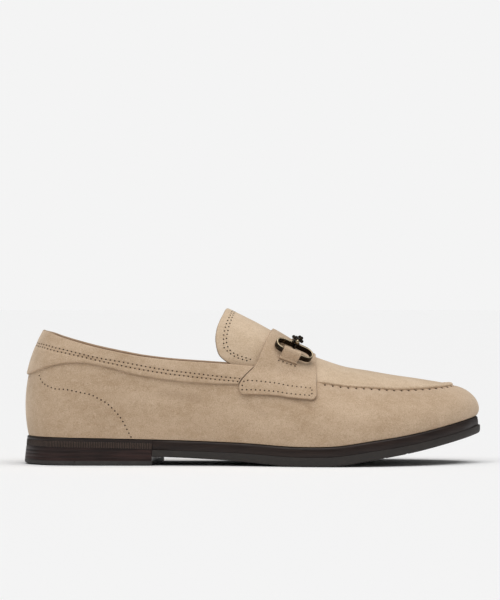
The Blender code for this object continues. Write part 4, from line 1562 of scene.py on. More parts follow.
@dataclass
class Collar:
    """Overlay band round the collar, rolled over its edge, with two stitch rows."""

    finishes: Finishes
    stitching: Stitching
    thickness: float = 1.25 * MM
    lift: float = 0.25 * MM
    roll: float = 1.20 * MM
    hem: float = 3.4 * MM
    columns: int = 620
    inside: float = -1.0 * MM

    def front(self, v: Array) -> Array:
        """Share of the length where the band ends at the strap, at a height."""
        foot = LAST.height_share(turn_of(LAST.strap_rear(0.2)), 0.62)
        return LAST.strap_rear((v - foot) / (1.0 - foot)) - 0.7 * MM / LAST.length

    def place(self, u: Array, down: Array) -> tuple[Array, Array]:
        """Angle and rib place of a point of the band.

        Args:
            u: place along the band, from -1 at the lateral strap edge to 1.
            down: distance below the top line.

        Returns:
            The angles and the places along the rib.
        """
        u, down = np.broadcast_arrays(u, down)
        guess = turn_of(0.5 * np.abs(u)) * np.sign(u)
        for _ in range(2):
            v = LAST.below(guess, down)
            guess = turn_of(self.front(v) * np.abs(u)) * np.sign(u)
        return guess, LAST.below(guess, down)

    def width(self, angle: Array) -> Array:
        """Width of the band at an angle.

        Args:
            angle: the angles.

        Returns:
            The widths.
        """
        low = LAST.height_share(angle, LAST.band_low(share_of(np.abs(angle))))
        ladder = np.linspace(0.0, 1.0, 25)
        v = low[..., None] + (1.0 - low[..., None]) * ladder
        rib = LAST.wall_base(angle[..., None], v)
        return np.linalg.norm(np.diff(rib, axis=-2), axis=-1).sum(-1)

    def build_band(self) -> None:
        """The band, as one closed section carried round the collar."""
        u = np.linspace(-1.0, 1.0, self.columns + 1)
        width = self.width(turn_of(0.47 * np.abs(u)) * np.sign(u))
        high, low = self.lift + self.thickness, self.inside
        edge = np.array([(1.0, 0.0), (1.0, 0.5), (0.97, 0.8), (0.90, 0.96)])
        spread = np.linspace(0.0, 1.0, 32)
        half = np.linspace(0.0, math.pi, 9)
        middle, radius = (high + low) / 2, (high - low) / 2
        down, lift = [], []
        for share, up in edge:
            down.append(width - 0.9 * MM * (1.0 - share) / 0.1)
            lift.append(np.full_like(u, self.lift + self.thickness * up))
        for t in spread:
            down.append((width - 1.2 * MM) * (1 - t) + self.roll * t)
            lift.append(np.full_like(u, high))
        for angle in half[1:]:
            down.append(np.full_like(u, self.roll * (1.0 - math.sin(angle))))
            lift.append(np.full_like(u, middle + radius * math.cos(angle)))
        for t in (0.5, 1.0):
            down.append(np.full_like(u, self.roll + (self.hem - self.roll) * t))
            lift.append(np.full_like(u, low))
        for t in np.linspace(0.0, 1.0, 8):
            down.append(np.maximum(self.hem * (1 - t) + width * t, self.hem))
            lift.append(np.full_like(u, self.lift))
        down, lift = np.array(down), np.array(lift)
        angle, v = self.place(np.broadcast_to(u, down.shape), down)
        outside = lift > self.lift + 0.6 * self.thickness
        for row in self.rows():
            gap = LAST.wall_base(angle, v) - LAST.wall_base(angle, row(share_of(np.abs(angle))))
            press = 0.20 * MM * np.exp(-((np.linalg.norm(gap, axis=-1) / (0.8 * MM)) ** 2))
            lift = lift - np.where(outside, press, 0.0)
        points = LAST.wall(angle, v, lift)
        # Tone wherever the band sits below its outer face: the lower cut edge, the part rolled inside and the
        # grooves pressed by the stitch rows. This is a darker raw edge and painted shade.
        tone = np.where(lift < self.lift + 0.9 * self.thickness, 0.6, 0.0)
        section = np.concatenate([points, points[:1]], 0)
        piece = laid("collar_band_suede", section, np.concatenate([tone, tone[:1]], 0))
        choose(piece)
        bpy.ops.object.mode_set(mode="EDIT")
        bpy.ops.mesh.select_all(action="SELECT")
        bpy.ops.mesh.remove_doubles(threshold=2e-6)
        bpy.ops.mesh.select_all(action="DESELECT")
        bpy.ops.mesh.select_non_manifold(extend=False)
        bpy.ops.mesh.fill_holes(sides=0)
        bpy.ops.mesh.select_all(action="SELECT")
        bpy.ops.mesh.normals_make_consistent(inside=False)
        bpy.ops.object.mode_set(mode="OBJECT")
        shade(piece)
        dress(piece, self.finishes.suede, Slot.SUEDE, "collar_band")

    def build(self) -> None:
        """Builds the band and its stitches."""
        self.build_band()
        share = np.linspace(0.0, 0.505, 700)
        angle = np.concatenate([-turn_of(share[::-1]), turn_of(share[1:])])
        for number, row in enumerate(self.rows()):
            v = row(share_of(np.abs(angle)))
            ahead = share_of(np.abs(angle)) > self.front(v) - 0.004
            keep = ~ahead
            lift = np.full(keep.sum(), self.lift + self.thickness - 0.17 * MM)
            points = LAST.wall(angle[keep], v[keep], lift)
            self.stitching.row(f"collar_row_{number + 1}", points, LAST.wall_normal(angle[keep], v[keep]))
        self.counter_rows()

    def rows(self) -> list[Curve]:
        """Place along the rib of each stitch row, by share of the length.

        Returns:
            A curve for each row.
        """
        made = []
        for spots in COLLAR_ROWS:
            seen = VIEW.found(drawn(spots, 60), lambda a, b: LAST.wall_base(-a, b), (0.02, 1.7), (0.1, 1.0))
            share = share_of(seen[0])
            order = np.argsort(share)
            share, v = share[order], seen[1][order]
            kept = np.concatenate([[True], np.diff(share) > 1e-4])
            share, v = share[kept], v[kept]
            near = np.exp(-(((share[:, None] - share[None, :]) / 0.03) ** 2))
            made.append(Curve(share, (near * v).sum(1) / near.sum(1)))
        return made

    def counter_rows(self) -> None:
        """Single row that holds the heel counter, on both sides."""
        turn, v = VIEW.found(drawn(COUNTER_ROW), lambda a, b: LAST.wall_base(-a, b), (0.02, 1.7), (0.0, 1.0))
        for side in Side:
            angle = side.value * turn
            points = LAST.wall(angle, v, creased(angle, v) + 0.02 * MM)
            self.stitching.row(f"counter_row_{side.name.lower()}", points, LAST.wall_normal(angle, v))


@dataclass
class Tongue:
    """Free end of the apron above the strap, with a double stitch row."""

    finishes: Finishes
    stitching: Stitching
    suede: float = 1.7 * MM
    lining: float = 1.1 * MM
    narrower: float = 2.6 * MM
    drop: float = 5.0 * MM
    front: float = 0.166
    long: float = 48 * MM
    wide: float = 95 * MM

    def surface(self, step: Array, c: Array) -> Array:
        """Points of the tongue, step from 0 under the strap to 1 at its free end.

        Args:
            step: places along the tongue.
            c: places across it.

        Returns:
            The points.
        """
        start = share_of(LAST.turn_at(self.front - 1.3 * MM))
        share = start + (LAST.tongue_rear(np.abs(c)) - start) * step
        return LAST.arch_base(turn_of(share), c, self.narrower, self.drop)

    def build(self) -> None:
        """Builds the two layers and the stitches."""
        steps = edge_steps(self.long, 1.0 * MM, 1.2 * MM)
        c = 2.0 * edge_steps(self.wide, 1.0 * MM, 1.2 * MM) - 1.0
        grid_step, grid_c = np.meshgrid(steps, c, indexing="ij")
        base = self.surface(grid_step, grid_c)
        normals = -grid_normals(base)
        if normals[len(steps) // 2, len(c) // 2, 2] < 0:
            normals = -normals
        top = Sheet("tongue_suede", self.suede, 0.9 * MM, -self.suede)
        # Top-lit copy of the suede: painted top light on the tongue.
        dress(top.build(base, normals), self.finishes.pale_suede, Slot.SUEDE, "tongue")
        under = Sheet("tongue_lining", self.lining, 0.5 * MM, -self.suede - self.lining)
        dress(under.build(base, normals), self.finishes.lining, Slot.LINING)
        for number, spots in enumerate(TONGUE_ROWS):
            self.stitch(f"tongue_row_{number + 1}", spots)

    def stitch(self, name: str, spots: Sequence[tuple]) -> None:
        """Row of stitches round the tongue's free end, as seen from the lateral side.

        Args:
            name: name of the row.
            spots: spots of the picture from the ridge down to the strap.
        """
        line = drawn(spots, 200)
        step, c = VIEW.found(line, lambda a, b: self.surface(a, -b), (0.02, 0.99), (0.05, 0.99))
        top = np.linspace(0.0, 1.0, 40)[:-1]
        first = np.concatenate([np.full(39, step[0]), step])
        second = np.concatenate([c[0] * top, c])
        first, second = np.concatenate([first[:0:-1], first]), np.concatenate([-second[:0:-1], second])
        normals = facing(self.surface, first, second)
        normals = normals * np.sign(normals[len(normals) // 2, 2])
        self.stitching.row(name, self.surface(first, second), normals)


@dataclass
class Strap:
    """Saddle strap over the instep, boxed with stitches at both feet."""

    finishes: Finishes
    stitching: Stitching
    thickness: float = 1.6 * MM
    lift: float = 0.35 * MM
    foot_rear: float = 0.620
    foot_front: float = 0.708
    corner: float = 2.6 * MM
    wide: float = 58 * MM
    foot_wide: float = 50 * MM
    box_low: float = 2.4 * MM
    box_high: float = 7.8 * MM
    box_side: float = 2.6 * MM

    def line(self, girth: Array, across: Array) -> Array:
        """Points of the strap's underside, girth 0 at the lateral foot and 4 at the medial.

        Args:
            girth: 1 and 3 at the top line, 2 at the ridge.
            across: from 0 at the rear edge to 1 at the front edge.

        Returns:
            The points.
        """
        girth, across = np.broadcast_arrays(girth, across)
        side = np.where(girth <= 2.0, -1.0, 1.0)
        climb = np.where(girth <= 2.0, girth, 4.0 - girth)
        share = LAST.strap_rear(climb) * (1 - across) + LAST.strap_front(climb) * across
        turn = turn_of(share)
        low = LAST.height_share(side * turn, self.foot_rear * (1 - across) + self.foot_front * across)
        wall = LAST.wall_base(side * turn, low + (1.0 - low) * np.clip(climb, 0.0, 1.0))
        over = LAST.arch_base(turn, side * np.clip(2.0 - climb, 0.0, 1.0))
        return np.where((climb < 1.0)[..., None], wall, over)

    def steps(self) -> Array:
        """Girths spaced evenly along the strap, with fine ones at both feet.

        Returns:
            The girths.
        """
        fine = np.linspace(0.0, 4.0, 801)
        path = self.line(fine, np.full_like(fine, 0.5))
        run = run_along(path)
        return np.interp(edge_steps(run[-1], 0.85 * MM, 0.8 * MM) * run[-1], run, fine)

    def grid(self) -> tuple[Array, Array]:
        """Points and normals of the strap's underside, eased over the seam.

        Returns:
            Both, by girth and across.
        """
        girth = self.steps()
        across = edge_steps(self.wide, 0.9 * MM, 0.8 * MM)
        grid_girth, grid_across = np.meshgrid(girth, across, indexing="ij")
        mid = self.line(girth, np.full_like(girth, 0.5))
        run = run_along(mid)
        end = np.minimum(run, run[-1] - run)
        round_off = np.sqrt(np.maximum(self.corner**2 - (self.corner - end) ** 2, 0.0))
        bite = np.where(end < self.corner, self.corner - round_off, 0.0)
        squeeze = (bite / self.foot_wide)[:, None]
        grid_across = squeeze + (1.0 - 2.0 * squeeze) * grid_across
        base = self.line(grid_girth, grid_across)
        for _ in range(10):
            base[1:-1] = 0.5 * base[1:-1] + 0.25 * (base[:-2] + base[2:])
        normals = grid_normals(base)
        if normals[len(girth) // 2, len(across) // 2, 2] < 0:
            normals = -normals
        return base, normals

    def build(self) -> None:
        """Builds the strap and its stitch boxes."""
        base, normals = self.grid()
        sheet = Sheet("saddle_strap_suede", self.thickness, 0.75 * MM, self.lift)
        piece = sheet.build(base, normals)
        dress(piece, self.finishes.suede, Slot.SUEDE, "saddle_strap")
        for side, rows in ((Side.LATERAL, base), (Side.MEDIAL, base[::-1])):
            up = normals if side is Side.LATERAL else normals[::-1]
            self.box(f"strap_box_{side.name.lower()}", rows, up)

    def box(self, name: str, base: Array, normals: Array) -> None:
        """Closed box of stitches near one foot of the strap.

        Args:
            name: name of the row.
            base: the strap's points, with this foot first.
            normals: their directions.
        """
        down = run_along(base[:, base.shape[1] // 2])
        low = int(np.searchsorted(down, self.box_low))
        high = int(np.searchsorted(down, self.box_high))
        width = np.linalg.norm(np.diff(base[high], axis=0), axis=-1).cumsum()
        left = int(np.searchsorted(width, self.box_side))
        right = int(np.searchsorted(width, width[-1] - self.box_side))
        columns = np.arange(left, right + 1)
        rows = np.arange(low, high + 1)
        corners = [(low, c) for c in columns] + [(r, right) for r in rows[1:]]
        corners += [(high, c) for c in columns[::-1][1:]] + [(r, left) for r in rows[::-1][1:]]
        index = np.array(corners)
        up = normals[index[:, 0], index[:, 1]]
        points = base[index[:, 0], index[:, 1]] + up * (self.lift + self.thickness)
        self.stitching.row(name, points, up)


# Bit
@dataclass
class Bit:
    """Metal bit: two rings, the bar that joins them and the loops that hold them."""

    finishes: Finishes
    stitching: Stitching
    length: float = 26.2 * MM
    width: float = 10.8 * MM
    wire: float = 1.25 * MM
    tall: float = 4.2 * MM
    lift: float = 0.5 * MM
    turn: float = math.radians(11)
    pitch: float = math.radians(3)
    along: float = 0.1739
    across: float = 0.490
    strap_top: float = 2.0 * MM
    keeper_width: float = 12.2 * MM
    keeper_thick: float = 1.3 * MM
    keeper_tail: float = 3.4 * MM
    keeper_back: float = 1.5 * MM
    # Direction in degrees and reach in millimetres of each outer bead
    petals: tuple = ((20.0, 2.7), (68.0, 3.6), (146.0, 2.9), (215.0, 2.5), (300.0, 2.5))

    def seat(self, side: Side) -> tuple[Array, Array, Array, Array]:
        """Origin and directions of the strap's surface where a ring lies.

        Args:
            side: side of the foot.

        Returns:
            The origin, and the directions along, out and up.
        """
        turn = LAST.turn_at(self.along)
        c = side.value * self.across
        origin = LAST.arch(turn, c, self.strap_top)
        normal = LAST.arch_normal(turn, c)
        along = unit(LAST.arch(turn + 5e-4, c, self.strap_top) - LAST.arch(turn - 5e-4, c, self.strap_top))
        out = np.cross(normal, along) * side.value
        out = unit(out - normal * (out @ normal))
        turned_along = along * math.cos(self.turn) - out * math.sin(self.turn)
        return origin, turned_along, out * math.cos(self.turn) + along * math.sin(self.turn), normal

    def ring_frame(self, side: Side) -> tuple[Array, Array, Array, Array]:
        """Middle and directions of a ring, whose front end is tipped up a little.

        Args:
            side: side of the foot.

        Returns:
            The middle, and the directions along, out and up.
        """
        origin, along, out, normal = self.seat(side)
        centre = origin + normal * (self.tall / 2 + self.lift)
        tipped = along * math.cos(self.pitch) + normal * math.sin(self.pitch)
        return centre, tipped, out, normal * math.cos(self.pitch) - along * math.sin(self.pitch)

    def build_ring(self, side: Side, node: str) -> None:
        """One flat-sided ring with softly brightened edges: partly wear, partly painted highlight.

        Args:
            side: side of the foot.
            node: solid it stands for.
        """
        centre, along, out, up = self.ring_frame(side)
        angle = np.linspace(0.0, 2 * math.pi, 120, endpoint=False)
        radius = (self.width - self.wire) / 2
        straight = (self.length - self.width) / 2
        x = radius * np.cos(angle) + straight * np.tanh(np.cos(angle) * 4.0)
        y = radius * np.sin(angle)
        path = centre + x[:, None] * along + y[:, None] * out
        run = np.roll(path, -1, 0) - np.roll(path, 1, 0)
        outside = unit(np.cross(run, up))
        section = rounded_section(self.wire, self.tall, 4.5, 28)
        # Brighter near the top and bottom edges of the section: worn brass there, and also painted highlight
        # lines.
        wear_and_highlight = np.clip((np.abs(section[:, 1]) / self.tall - 0.42) / 0.07, 0.0, 1.0)
        piece = swept(f"{node}_metal", path, outside, np.broadcast_to(up, path.shape), section, True, wear_and_highlight)
        dress(piece, self.finishes.metal, Slot.BRASS, node)

    def build_bar(self) -> None:
        """Bar over the ridge, with a beaded knuckle at each ring."""
        pieces = []
        held, tops, outs, ups = [], [], [], []
        for side in Side:
            centre, along, out, up = self.ring_frame(side)
            held.append(centre - out * (self.width - self.wire) / 2)
            tops.append(held[-1] + up * (self.tall / 2 + 0.8 * MM))
            outs.append(out)
            ups.append(up)
        start, end = tops
        axis = unit(end - start)
        half = float(np.linalg.norm(end - start)) / 2
        reach = wanted = float((start + end)[0] + LAST.length) / 2
        for _ in range(6):
            turn = LAST.turn_at(reach)
            middle = LAST.arch(turn, 0.0, self.strap_top + 1.7 * MM)
            reach += wanted - float(middle[0] + LAST.length / 2)
        sag = (start + end) / 2 - middle
        ridge = LAST.arch_normal(turn, 0.0)
        lift = unit(ridge - axis * (ridge @ axis))
        across = np.cross(axis, lift)
        place = np.linspace(-1.0, 1.0, 81)
        size = 0.95 * MM + 1.1 * MM * np.exp(-((place / 0.20) ** 2))
        size += 0.8 * MM * np.exp(-(((np.abs(place) - 0.42) / 0.05) ** 2))
        size += 0.5 * MM * np.exp(-(((np.abs(place) - 0.56) / 0.035) ** 2))
        path = middle + place[:, None] * axis * half + (place**2)[:, None] * sag
        section = rounded_section(2.0, 2.0, 2.0, 18)[None] * size[:, None, None]
        ones = np.ones((len(place), 1))
        pieces.append(swept("bit_bar_rod", path, ones * lift, ones * across, section, False))
        for side, place, out, up in zip(Side, held, outs, ups):
            pieces += self.knuckle(place, out, up, side.value)
        piece = joined(pieces, "bit_bar_metal")
        shade(piece)
        dress(piece, self.finishes.metal, Slot.BRASS, "bit_bar")

    def knuckle(self, place: Array, out: Array, up: Array, side_sign: float) -> list[bpy.types.Object]:
        """Eye round the ring's inner side and the flower of beads on top of it.

        Args:
            place: middle of the ring's inner side.
            out: direction away from the ridge.
            up: direction out of the strap.
            side_sign: -1 on the lateral side and 1 on the medial.

        Returns:
            The eye and the beads.
        """
        forward = np.cross(out, up)
        angle = np.linspace(0.0, 2 * math.pi, 36, endpoint=False)
        spoke = np.cos(angle)[:, None] * up + np.sin(angle)[:, None] * out
        size = self.tall / 2 + 0.55 * MM
        thick = rounded_section(0.9 * MM, 1.4 * MM, 2.4, 12)
        along = np.broadcast_to(forward, spoke.shape)
        made = [swept("bit_eye", place + spoke * size, spoke, along, thick, True)]
        flower = place + up * (size + 1.9 * MM) + out * 0.6 * MM
        beads = [(flower + out * 0.9 * MM, 1.55 * MM)]
        made.append(self.stem(place + up * size, flower, 1.9 * MM))
        for degrees, reach in self.petals:
            turn = math.radians(degrees)
            petal = forward * side_sign * math.cos(turn) + up * math.sin(turn)
            beads.append((flower + petal * reach * MM, 1.15 * MM))
            made.append(self.stem(flower, beads[-1][0], 1.2 * MM))
        for spot, radius in beads:
            deselect()
            bpy.ops.mesh.primitive_uv_sphere_add(segments=20, ring_count=12, radius=radius, location=spot)
            bpy.ops.object.transform_apply(location=True, rotation=False, scale=False)
            bead = bpy.context.object
            kept = bead.data.attributes.new("tone", "FLOAT", "POINT")
            # The middle bead is painted bright: partly worn brass, partly painted highlight.
            wear_and_highlight = 0.8 if radius > 1.3 * MM else 0.1
            kept.data.foreach_set("value", np.full(len(bead.data.vertices), wear_and_highlight))
            made.append(bead)
        return made

    def stem(self, start: Array, end: Array, thick: float) -> bpy.types.Object:
        """Short round stem that carries a bead.

        Args:
            start: its foot, inside what carries it.
            end: middle of the bead.
            thick: its diameter.

        Returns:
            The stem.
        """
        centres = start + np.linspace(0.0, 1.0, 4)[:, None] * (end - start)
        first = unit(np.cross(end - start, np.array([0.3, 0.2, 1.0])))
        second = unit(np.cross(end - start, first))
        ones = np.ones((len(centres), 1))
        section = rounded_section(thick, thick, 2.0, 12)
        return swept("bit_stem", centres, ones * first, ones * second, section, False)

    def build_keeper(self, side: Side, node: str) -> None:
        """Suede loop over the outer side of a ring, sewn down below it.

        Args:
            side: side of the foot.
            node: solid it stands for.
        """
        origin, seat_along, seat_out, seat_up = self.seat(side)
        centre, along, out, up = self.ring_frame(side)
        reach = (self.width - self.wire) / 2
        beside, above = self.wire / 2 + 0.35 * MM, self.tall / 2 + 0.3 * MM
        arc = np.linspace(0.0, math.pi, 19)
        line = []
        power = 2.6
        for a in arc:
            c, s = math.cos(a), math.sin(a)
            scale = (abs(c) ** power + abs(s) ** power) ** (-1 / power)
            line.append((reach - beside * c * scale, above * s * scale))
        base_up = -self.tall / 2 - self.lift
        start = [(reach - beside - 0.6 * MM, base_up), (reach - beside - 0.1 * MM, -0.5 * MM)]
        tail = [reach + beside + 0.15 * MM + self.keeper_tail * t for t in np.linspace(0.0, 1.0, 12)]
        width = np.linspace(-0.5, 0.5, 27) * self.keeper_width - self.keeper_back
        rows = []
        for place, height in [*start, *line]:
            rows.append(centre + width[:, None] * along + place * out + height * up)
        foot = np.array([origin + width[:, None] * seat_along + place * seat_out for place in tail])
        rows = np.concatenate([np.array(rows), self.on_strap(foot, side)], 0)
        middle = rows.shape[1] // 2
        smooth = rows.copy()
        for _ in range(3):
            smooth[1:-1] = 0.5 * smooth[1:-1] + 0.25 * (smooth[:-2] + smooth[2:])
        run = run_along(smooth[:, middle])
        places = np.interp(edge_steps(run[-1], 0.55 * MM, 0.6 * MM) * run[-1], run, np.arange(len(run)))
        low = np.floor(places).astype(int).clip(0, len(run) - 2)
        part = (places - low)[:, None, None]
        base = smooth[low] * (1 - part) + smooth[low + 1] * part
        normals = grid_normals(base)
        if (normals[-3, middle] @ seat_up) < 0:
            normals = -normals
        sheet = Sheet(f"{node}_suede", self.keeper_thick, 0.5 * MM, 0.0)
        dress(sheet.build(base, normals), self.finishes.suede, Slot.SUEDE, node)
        t = np.linspace(0.0, 1.0, 60)[:, None]
        row = origin + seat_along * ((t - 0.5) * (self.keeper_width - 1.2 * MM) - self.keeper_back)
        row = row + seat_out * (reach + beside + self.keeper_tail + 1.2 * MM)
        spots = self.on_strap(row[None], side)[0]
        up_rows = np.broadcast_to(seat_up, spots.shape)
        self.stitching.row(f"{node}_row", spots + up_rows * 0.02 * MM, up_rows)

    def on_strap(self, points: Array, side: Side) -> Array:
        """Points dropped along the seat's normal onto the strap's outer face.

        Args:
            points: the points.
            side: side of the foot.

        Returns:
            The dropped points.
        """
        turns = np.linspace(LAST.turn_at(self.along) - 0.22, LAST.turn_at(self.along) + 0.22, 60)
        c = np.linspace(0.05, 1.0, 90) * side.value
        grid_turn, grid_c = np.meshgrid(turns, c, indexing="ij")
        surface = LAST.arch(grid_turn, grid_c, self.strap_top + 0 * grid_c).reshape(-1, 3)
        origin, along, out, up = self.seat(side)
        plan = np.stack([(surface - origin) @ along, (surface - origin) @ out], -1)
        height = (surface - origin) @ up
        flat = points.reshape(-1, 3)
        spot = np.stack([(flat - origin) @ along, (flat - origin) @ out], -1)
        found = []
        for place in spot:
            gap = ((plan - place) ** 2).sum(-1)
            near = np.argsort(gap)[:6]
            weight = 1.0 / (gap[near] + 1e-8)
            found.append(float((height[near] * weight).sum() / weight.sum()))
        lifted = origin + spot[:, :1] * along + spot[:, 1:] * out + np.array(found)[:, None] * up
        return lifted.reshape(points.shape)

    def build(self) -> None:
        """Builds the whole bit."""
        self.build_ring(Side.LATERAL, "bit_ring_lateral")
        self.build_ring(Side.MEDIAL, "bit_ring_medial")
        self.build_bar()
        self.build_keeper(Side.LATERAL, "keeper_lateral")
        self.build_keeper(Side.MEDIAL, "keeper_medial")


# Sole
# Edge profiles from the foot (0) to the top (1) of a layer: insets in edge steps
# and, for the rand, whether the wheel has marked it there
RAND_PROFILE = (
    (0.00, 0.30, 0),
    (0.03, 0.12, 0),
    (0.07, 0.05, 1),
    (0.50, 0.00, 1),
    (0.93, 0.10, 1),
    (0.97, 0.22, 0),
    (1.00, 0.45, 0),
)
OUTSOLE_PROFILE = (
    (0.00, 1.10),
    (0.05, 0.70),
    (0.14, 0.30),
    (0.30, 0.08),
    (0.55, 0.00),
    (0.90, 0.00),
    (1.00, 0.12),
)
MIDSOLE_PROFILE = (
    (0.00, 0.55),
    (0.05, 0.40),
    (0.40, 0.34),
    (0.75, 0.45),
    (0.90, 0.80),
    (0.97, 1.40),
    (1.00, 2.20),
)
LIFT_PROFILE = (
    (0.00, 0.45),
    (0.06, 0.20),
    (0.20, 0.04),
    (0.50, 0.00),
    (0.85, 0.00),
    (1.00, 0.08),
)


def level(low: Callable, high: Callable, share: float) -> Callable:
    """Height at points, a share of the way from one surface to another."""
    return lambda point: low(point) * (1 - share) + high(point) * share


@dataclass
class Sole:
    """Rubber outsole, midsole, rand, stacked heel, top lift and insole."""

    finishes: Finishes
    seat: float = 1.9 * MM
    rand: float = 4.3 * MM
    top_lift: float = 3.0 * MM
    breast_lateral: float = 0.0841
    breast_medial: float = 0.0903
    step: float = 0.9 * MM
    flare: float = 1.4 * MM
    groove_pitch: float = 14.8 * MM
    groove_width: float = 1.6 * MM
    groove_depth: float = 1.0 * MM
    first_groove: float = 0.160
    groove_count: int = 7
    tick_pitch: float = 1.1 * MM
    back_rise: float = 0.9 * MM
    toe_lip: float = 0.5 * MM
    notch_at: float = 0.0345
    notch_deep: float = 0.5 * MM
    stack_line: float = 0.07 * MM
    sock_above: float = 2.6 * MM
    sock_thick: float = 3.0 * MM
    sock_inside: float = 2.6 * MM

    def feather(self, point: Array) -> Array:
        """Height of the top of the midsole at points."""
        return LAST.feather_height(point[:, 0])

    def rand_top(self, point: Array) -> Array:
        """Height of the top of the rand at points."""
        return self.feather(point) - self.seat

    def rand_foot(self, point: Array) -> Array:
        """Height of the foot of the rand at points."""
        return self.rand_top(point) - self.rand

    def lift_foot(self, point: Array) -> Array:
        """Height of the underside of the top lift, worn up a little at the back."""
        return self.back_rise * ease(1.0 - (point[:, 0] + LAST.length / 2) / (40 * MM))

    def slab(self, name: str, lateral: Array, medial: Array, levels: Sequence[tuple]) -> bpy.types.Object:
        """Slab of the sole from its side and two caps.

        Args:
            name: name of the new piece.
            lateral: angles down the lateral side, from the first row to the last.
            medial: angles down the medial side, in the same rows.
            levels: for each level the lateral and medial insets, its height at points
                and, where it has them, the marks on both sides.

        Returns:
            The welded piece.
        """
        across = np.linspace(0.0, 1.0, 9)[None, :, None]
        rings, caps, tones = [], [], []
        for left_depth, right_depth, height, *marks in levels:
            left, right = LAST.inset(lateral, left_depth), LAST.inset(medial, right_depth)
            left[:, 2], right[:, 2] = height(left), height(right)
            cap = left[:, None] * (1 - across) + right[:, None] * across
            caps.append(cap)
            rings.append(np.concatenate([right[::-1], cap[0, ::-1][1:-1], left, cap[-1][1:]], 0))
            left_mark, right_mark = marks if marks else (np.zeros(len(left)), np.zeros(len(left)))
            tones.append(np.concatenate([right_mark[::-1], np.zeros(7), left_mark, np.zeros(8)]))
        pieces = [laid(name, np.array(rings), np.array(tones)), laid(name, caps[0]), laid(name, caps[-1])]
        piece = joined(pieces, name)
        weld(piece)
        shade(piece, 40.0)
        return piece

    def ticks(self, angle: Array, depth: float) -> Array:
        """Fine upright flutes along the edge, as extra inset.

        Args:
            angle: angles along the edge.
            depth: depth of a flute.

        Returns:
            The insets.
        """
        line = LAST.outline(np.sort(angle))
        run = run_along(line)
        run = np.interp(angle, np.sort(angle), run)
        return depth * (0.5 - 0.5 * np.cos(2 * math.pi * run / self.tick_pitch)) ** 2

    def heel_angles(self, count: int) -> tuple[Array, Array]:
        """Angles of both sides of the heel, evenly spaced round its edge.

        Args:
            count: angles to a side.

        Returns:
            The lateral and the medial angles.
        """
        t = np.linspace(0.0, 1.0, count)
        sides = []
        for reach, sign in ((self.breast_lateral, -1.0), (self.breast_medial, 1.0)):
            end = float(turn_of(reach / LAST.length))
            fine = np.linspace(0.0, end, 2000)
            line = LAST.outline(fine * sign)
            run = run_along(line)
            sides.append(sign * np.interp(t * run[-1], run, fine))
        return sides[0], sides[1]

    def build_heel(self) -> None:
        """Builds the rand, the stack and the top lift."""
        lateral, medial = self.heel_angles(640)
        levels = []
        for share, depth, cut in RAND_PROFILE:
            height = level(self.rand_foot, self.rand_top, share)
            marks = self.ticks(lateral, 1.0) * cut, self.ticks(medial, 1.0) * cut
            lean = self.flare * (1.0 - 0.25 * (1.0 - share))
            left = lean + self.step * depth + 0.30 * MM * marks[0]
            right = lean + self.step * depth + 0.30 * MM * marks[1]
            levels.append((left, right, height, *marks))
        rand = self.slab("heel_rand_leather", lateral, medial, levels)
        dress(rand, self.finishes.rand, Slot.EDGE, "heel_rand")

        lateral, medial = self.heel_angles(220)
        levels = []
        profile = [(0.0, 0.10 * MM)]
        for k in range(1, 4):
            line = k / 4
            deep = self.stack_line
            for offset, extra in ((-0.035, 0.0), (-0.01, deep), (0.01, deep), (0.035, 0.0)):
                profile.append((line + offset, 0.72 * self.flare * (line + offset) + extra))
        profile += [(1.0, 0.78 * self.flare)]
        for share, depth in profile:
            height = level(lambda point: self.top_lift, self.rand_foot, share)
            levels.append((np.full_like(lateral, depth), np.full_like(medial, depth), height))
        stack = self.slab("heel_stack_leather", lateral, medial, levels)
        dress(stack, self.finishes.stack, Slot.EDGE, "heel_stack")

        levels = []
        for share, depth in LIFT_PROFILE:
            height = level(self.lift_foot, lambda point: self.top_lift, share)
            reach = share_of(np.abs(lateral)) * LAST.length
            notch = self.notch_deep * np.exp(-(((reach - self.notch_at) / (0.5 * MM)) ** 2))
            levels.append((self.step * depth + notch, np.full_like(medial, self.step * depth), height))
        lift = self.slab("heel_top_lift_rubber", lateral, medial, levels)
        dress(lift, self.finishes.lift, Slot.RUBBER, "heel_top_lift")

    def build_forepart(self) -> None:
        """Builds the outsole with its grooves and the midsole."""
        breast = (self.breast_lateral + LAST.gap) / LAST.length
        askew = (self.breast_medial - self.breast_lateral) / LAST.length
        places = [self.first_groove + k * self.groove_pitch for k in range(self.groove_count)]
        turns = np.linspace(float(turn_of(breast)), math.pi, 260)
        shares = share_of(turns)
        shares = [s for s in shares if all(abs(s * LAST.length - p) > self.groove_width for p in places)]
        for place in places:
            for offset in (-0.56, -0.5, -0.4, -0.33, 0.33, 0.4, 0.5, 0.56):
                shares.append((place + offset * self.groove_width) / LAST.length)
        shares = np.array(sorted(shares))
        fade = np.maximum(0.0, 1.0 - (shares - breast) / (0.2 * (1.0 - breast)))
        lateral, medial = -turn_of(shares), turn_of(shares + askew * fade)
        reach = shares * LAST.length
        nearest = np.min([np.abs(reach - place) for place in places], axis=0)
        deep = self.groove_depth * ease((0.5 - nearest / self.groove_width) / 0.12)
        levels = []
        for share, depth in OUTSOLE_PROFILE:
            cut = deep * (1.0 if share == 0.0 else 0.0)
            height = level(
                lambda point, cut=cut: LAST.underside(point[:, 0]) + cut,
                lambda point: LAST.layer_line(point[:, 0]),
                share,
            )
            inset = self.step * depth - self.toe_lip * ease((shares - 0.97) / 0.03)
            levels.append((inset, inset, height))
        outsole = self.slab("outsole_rubber", lateral, medial, levels)
        dress(outsole, self.finishes.rubber, Slot.RUBBER, "outsole")

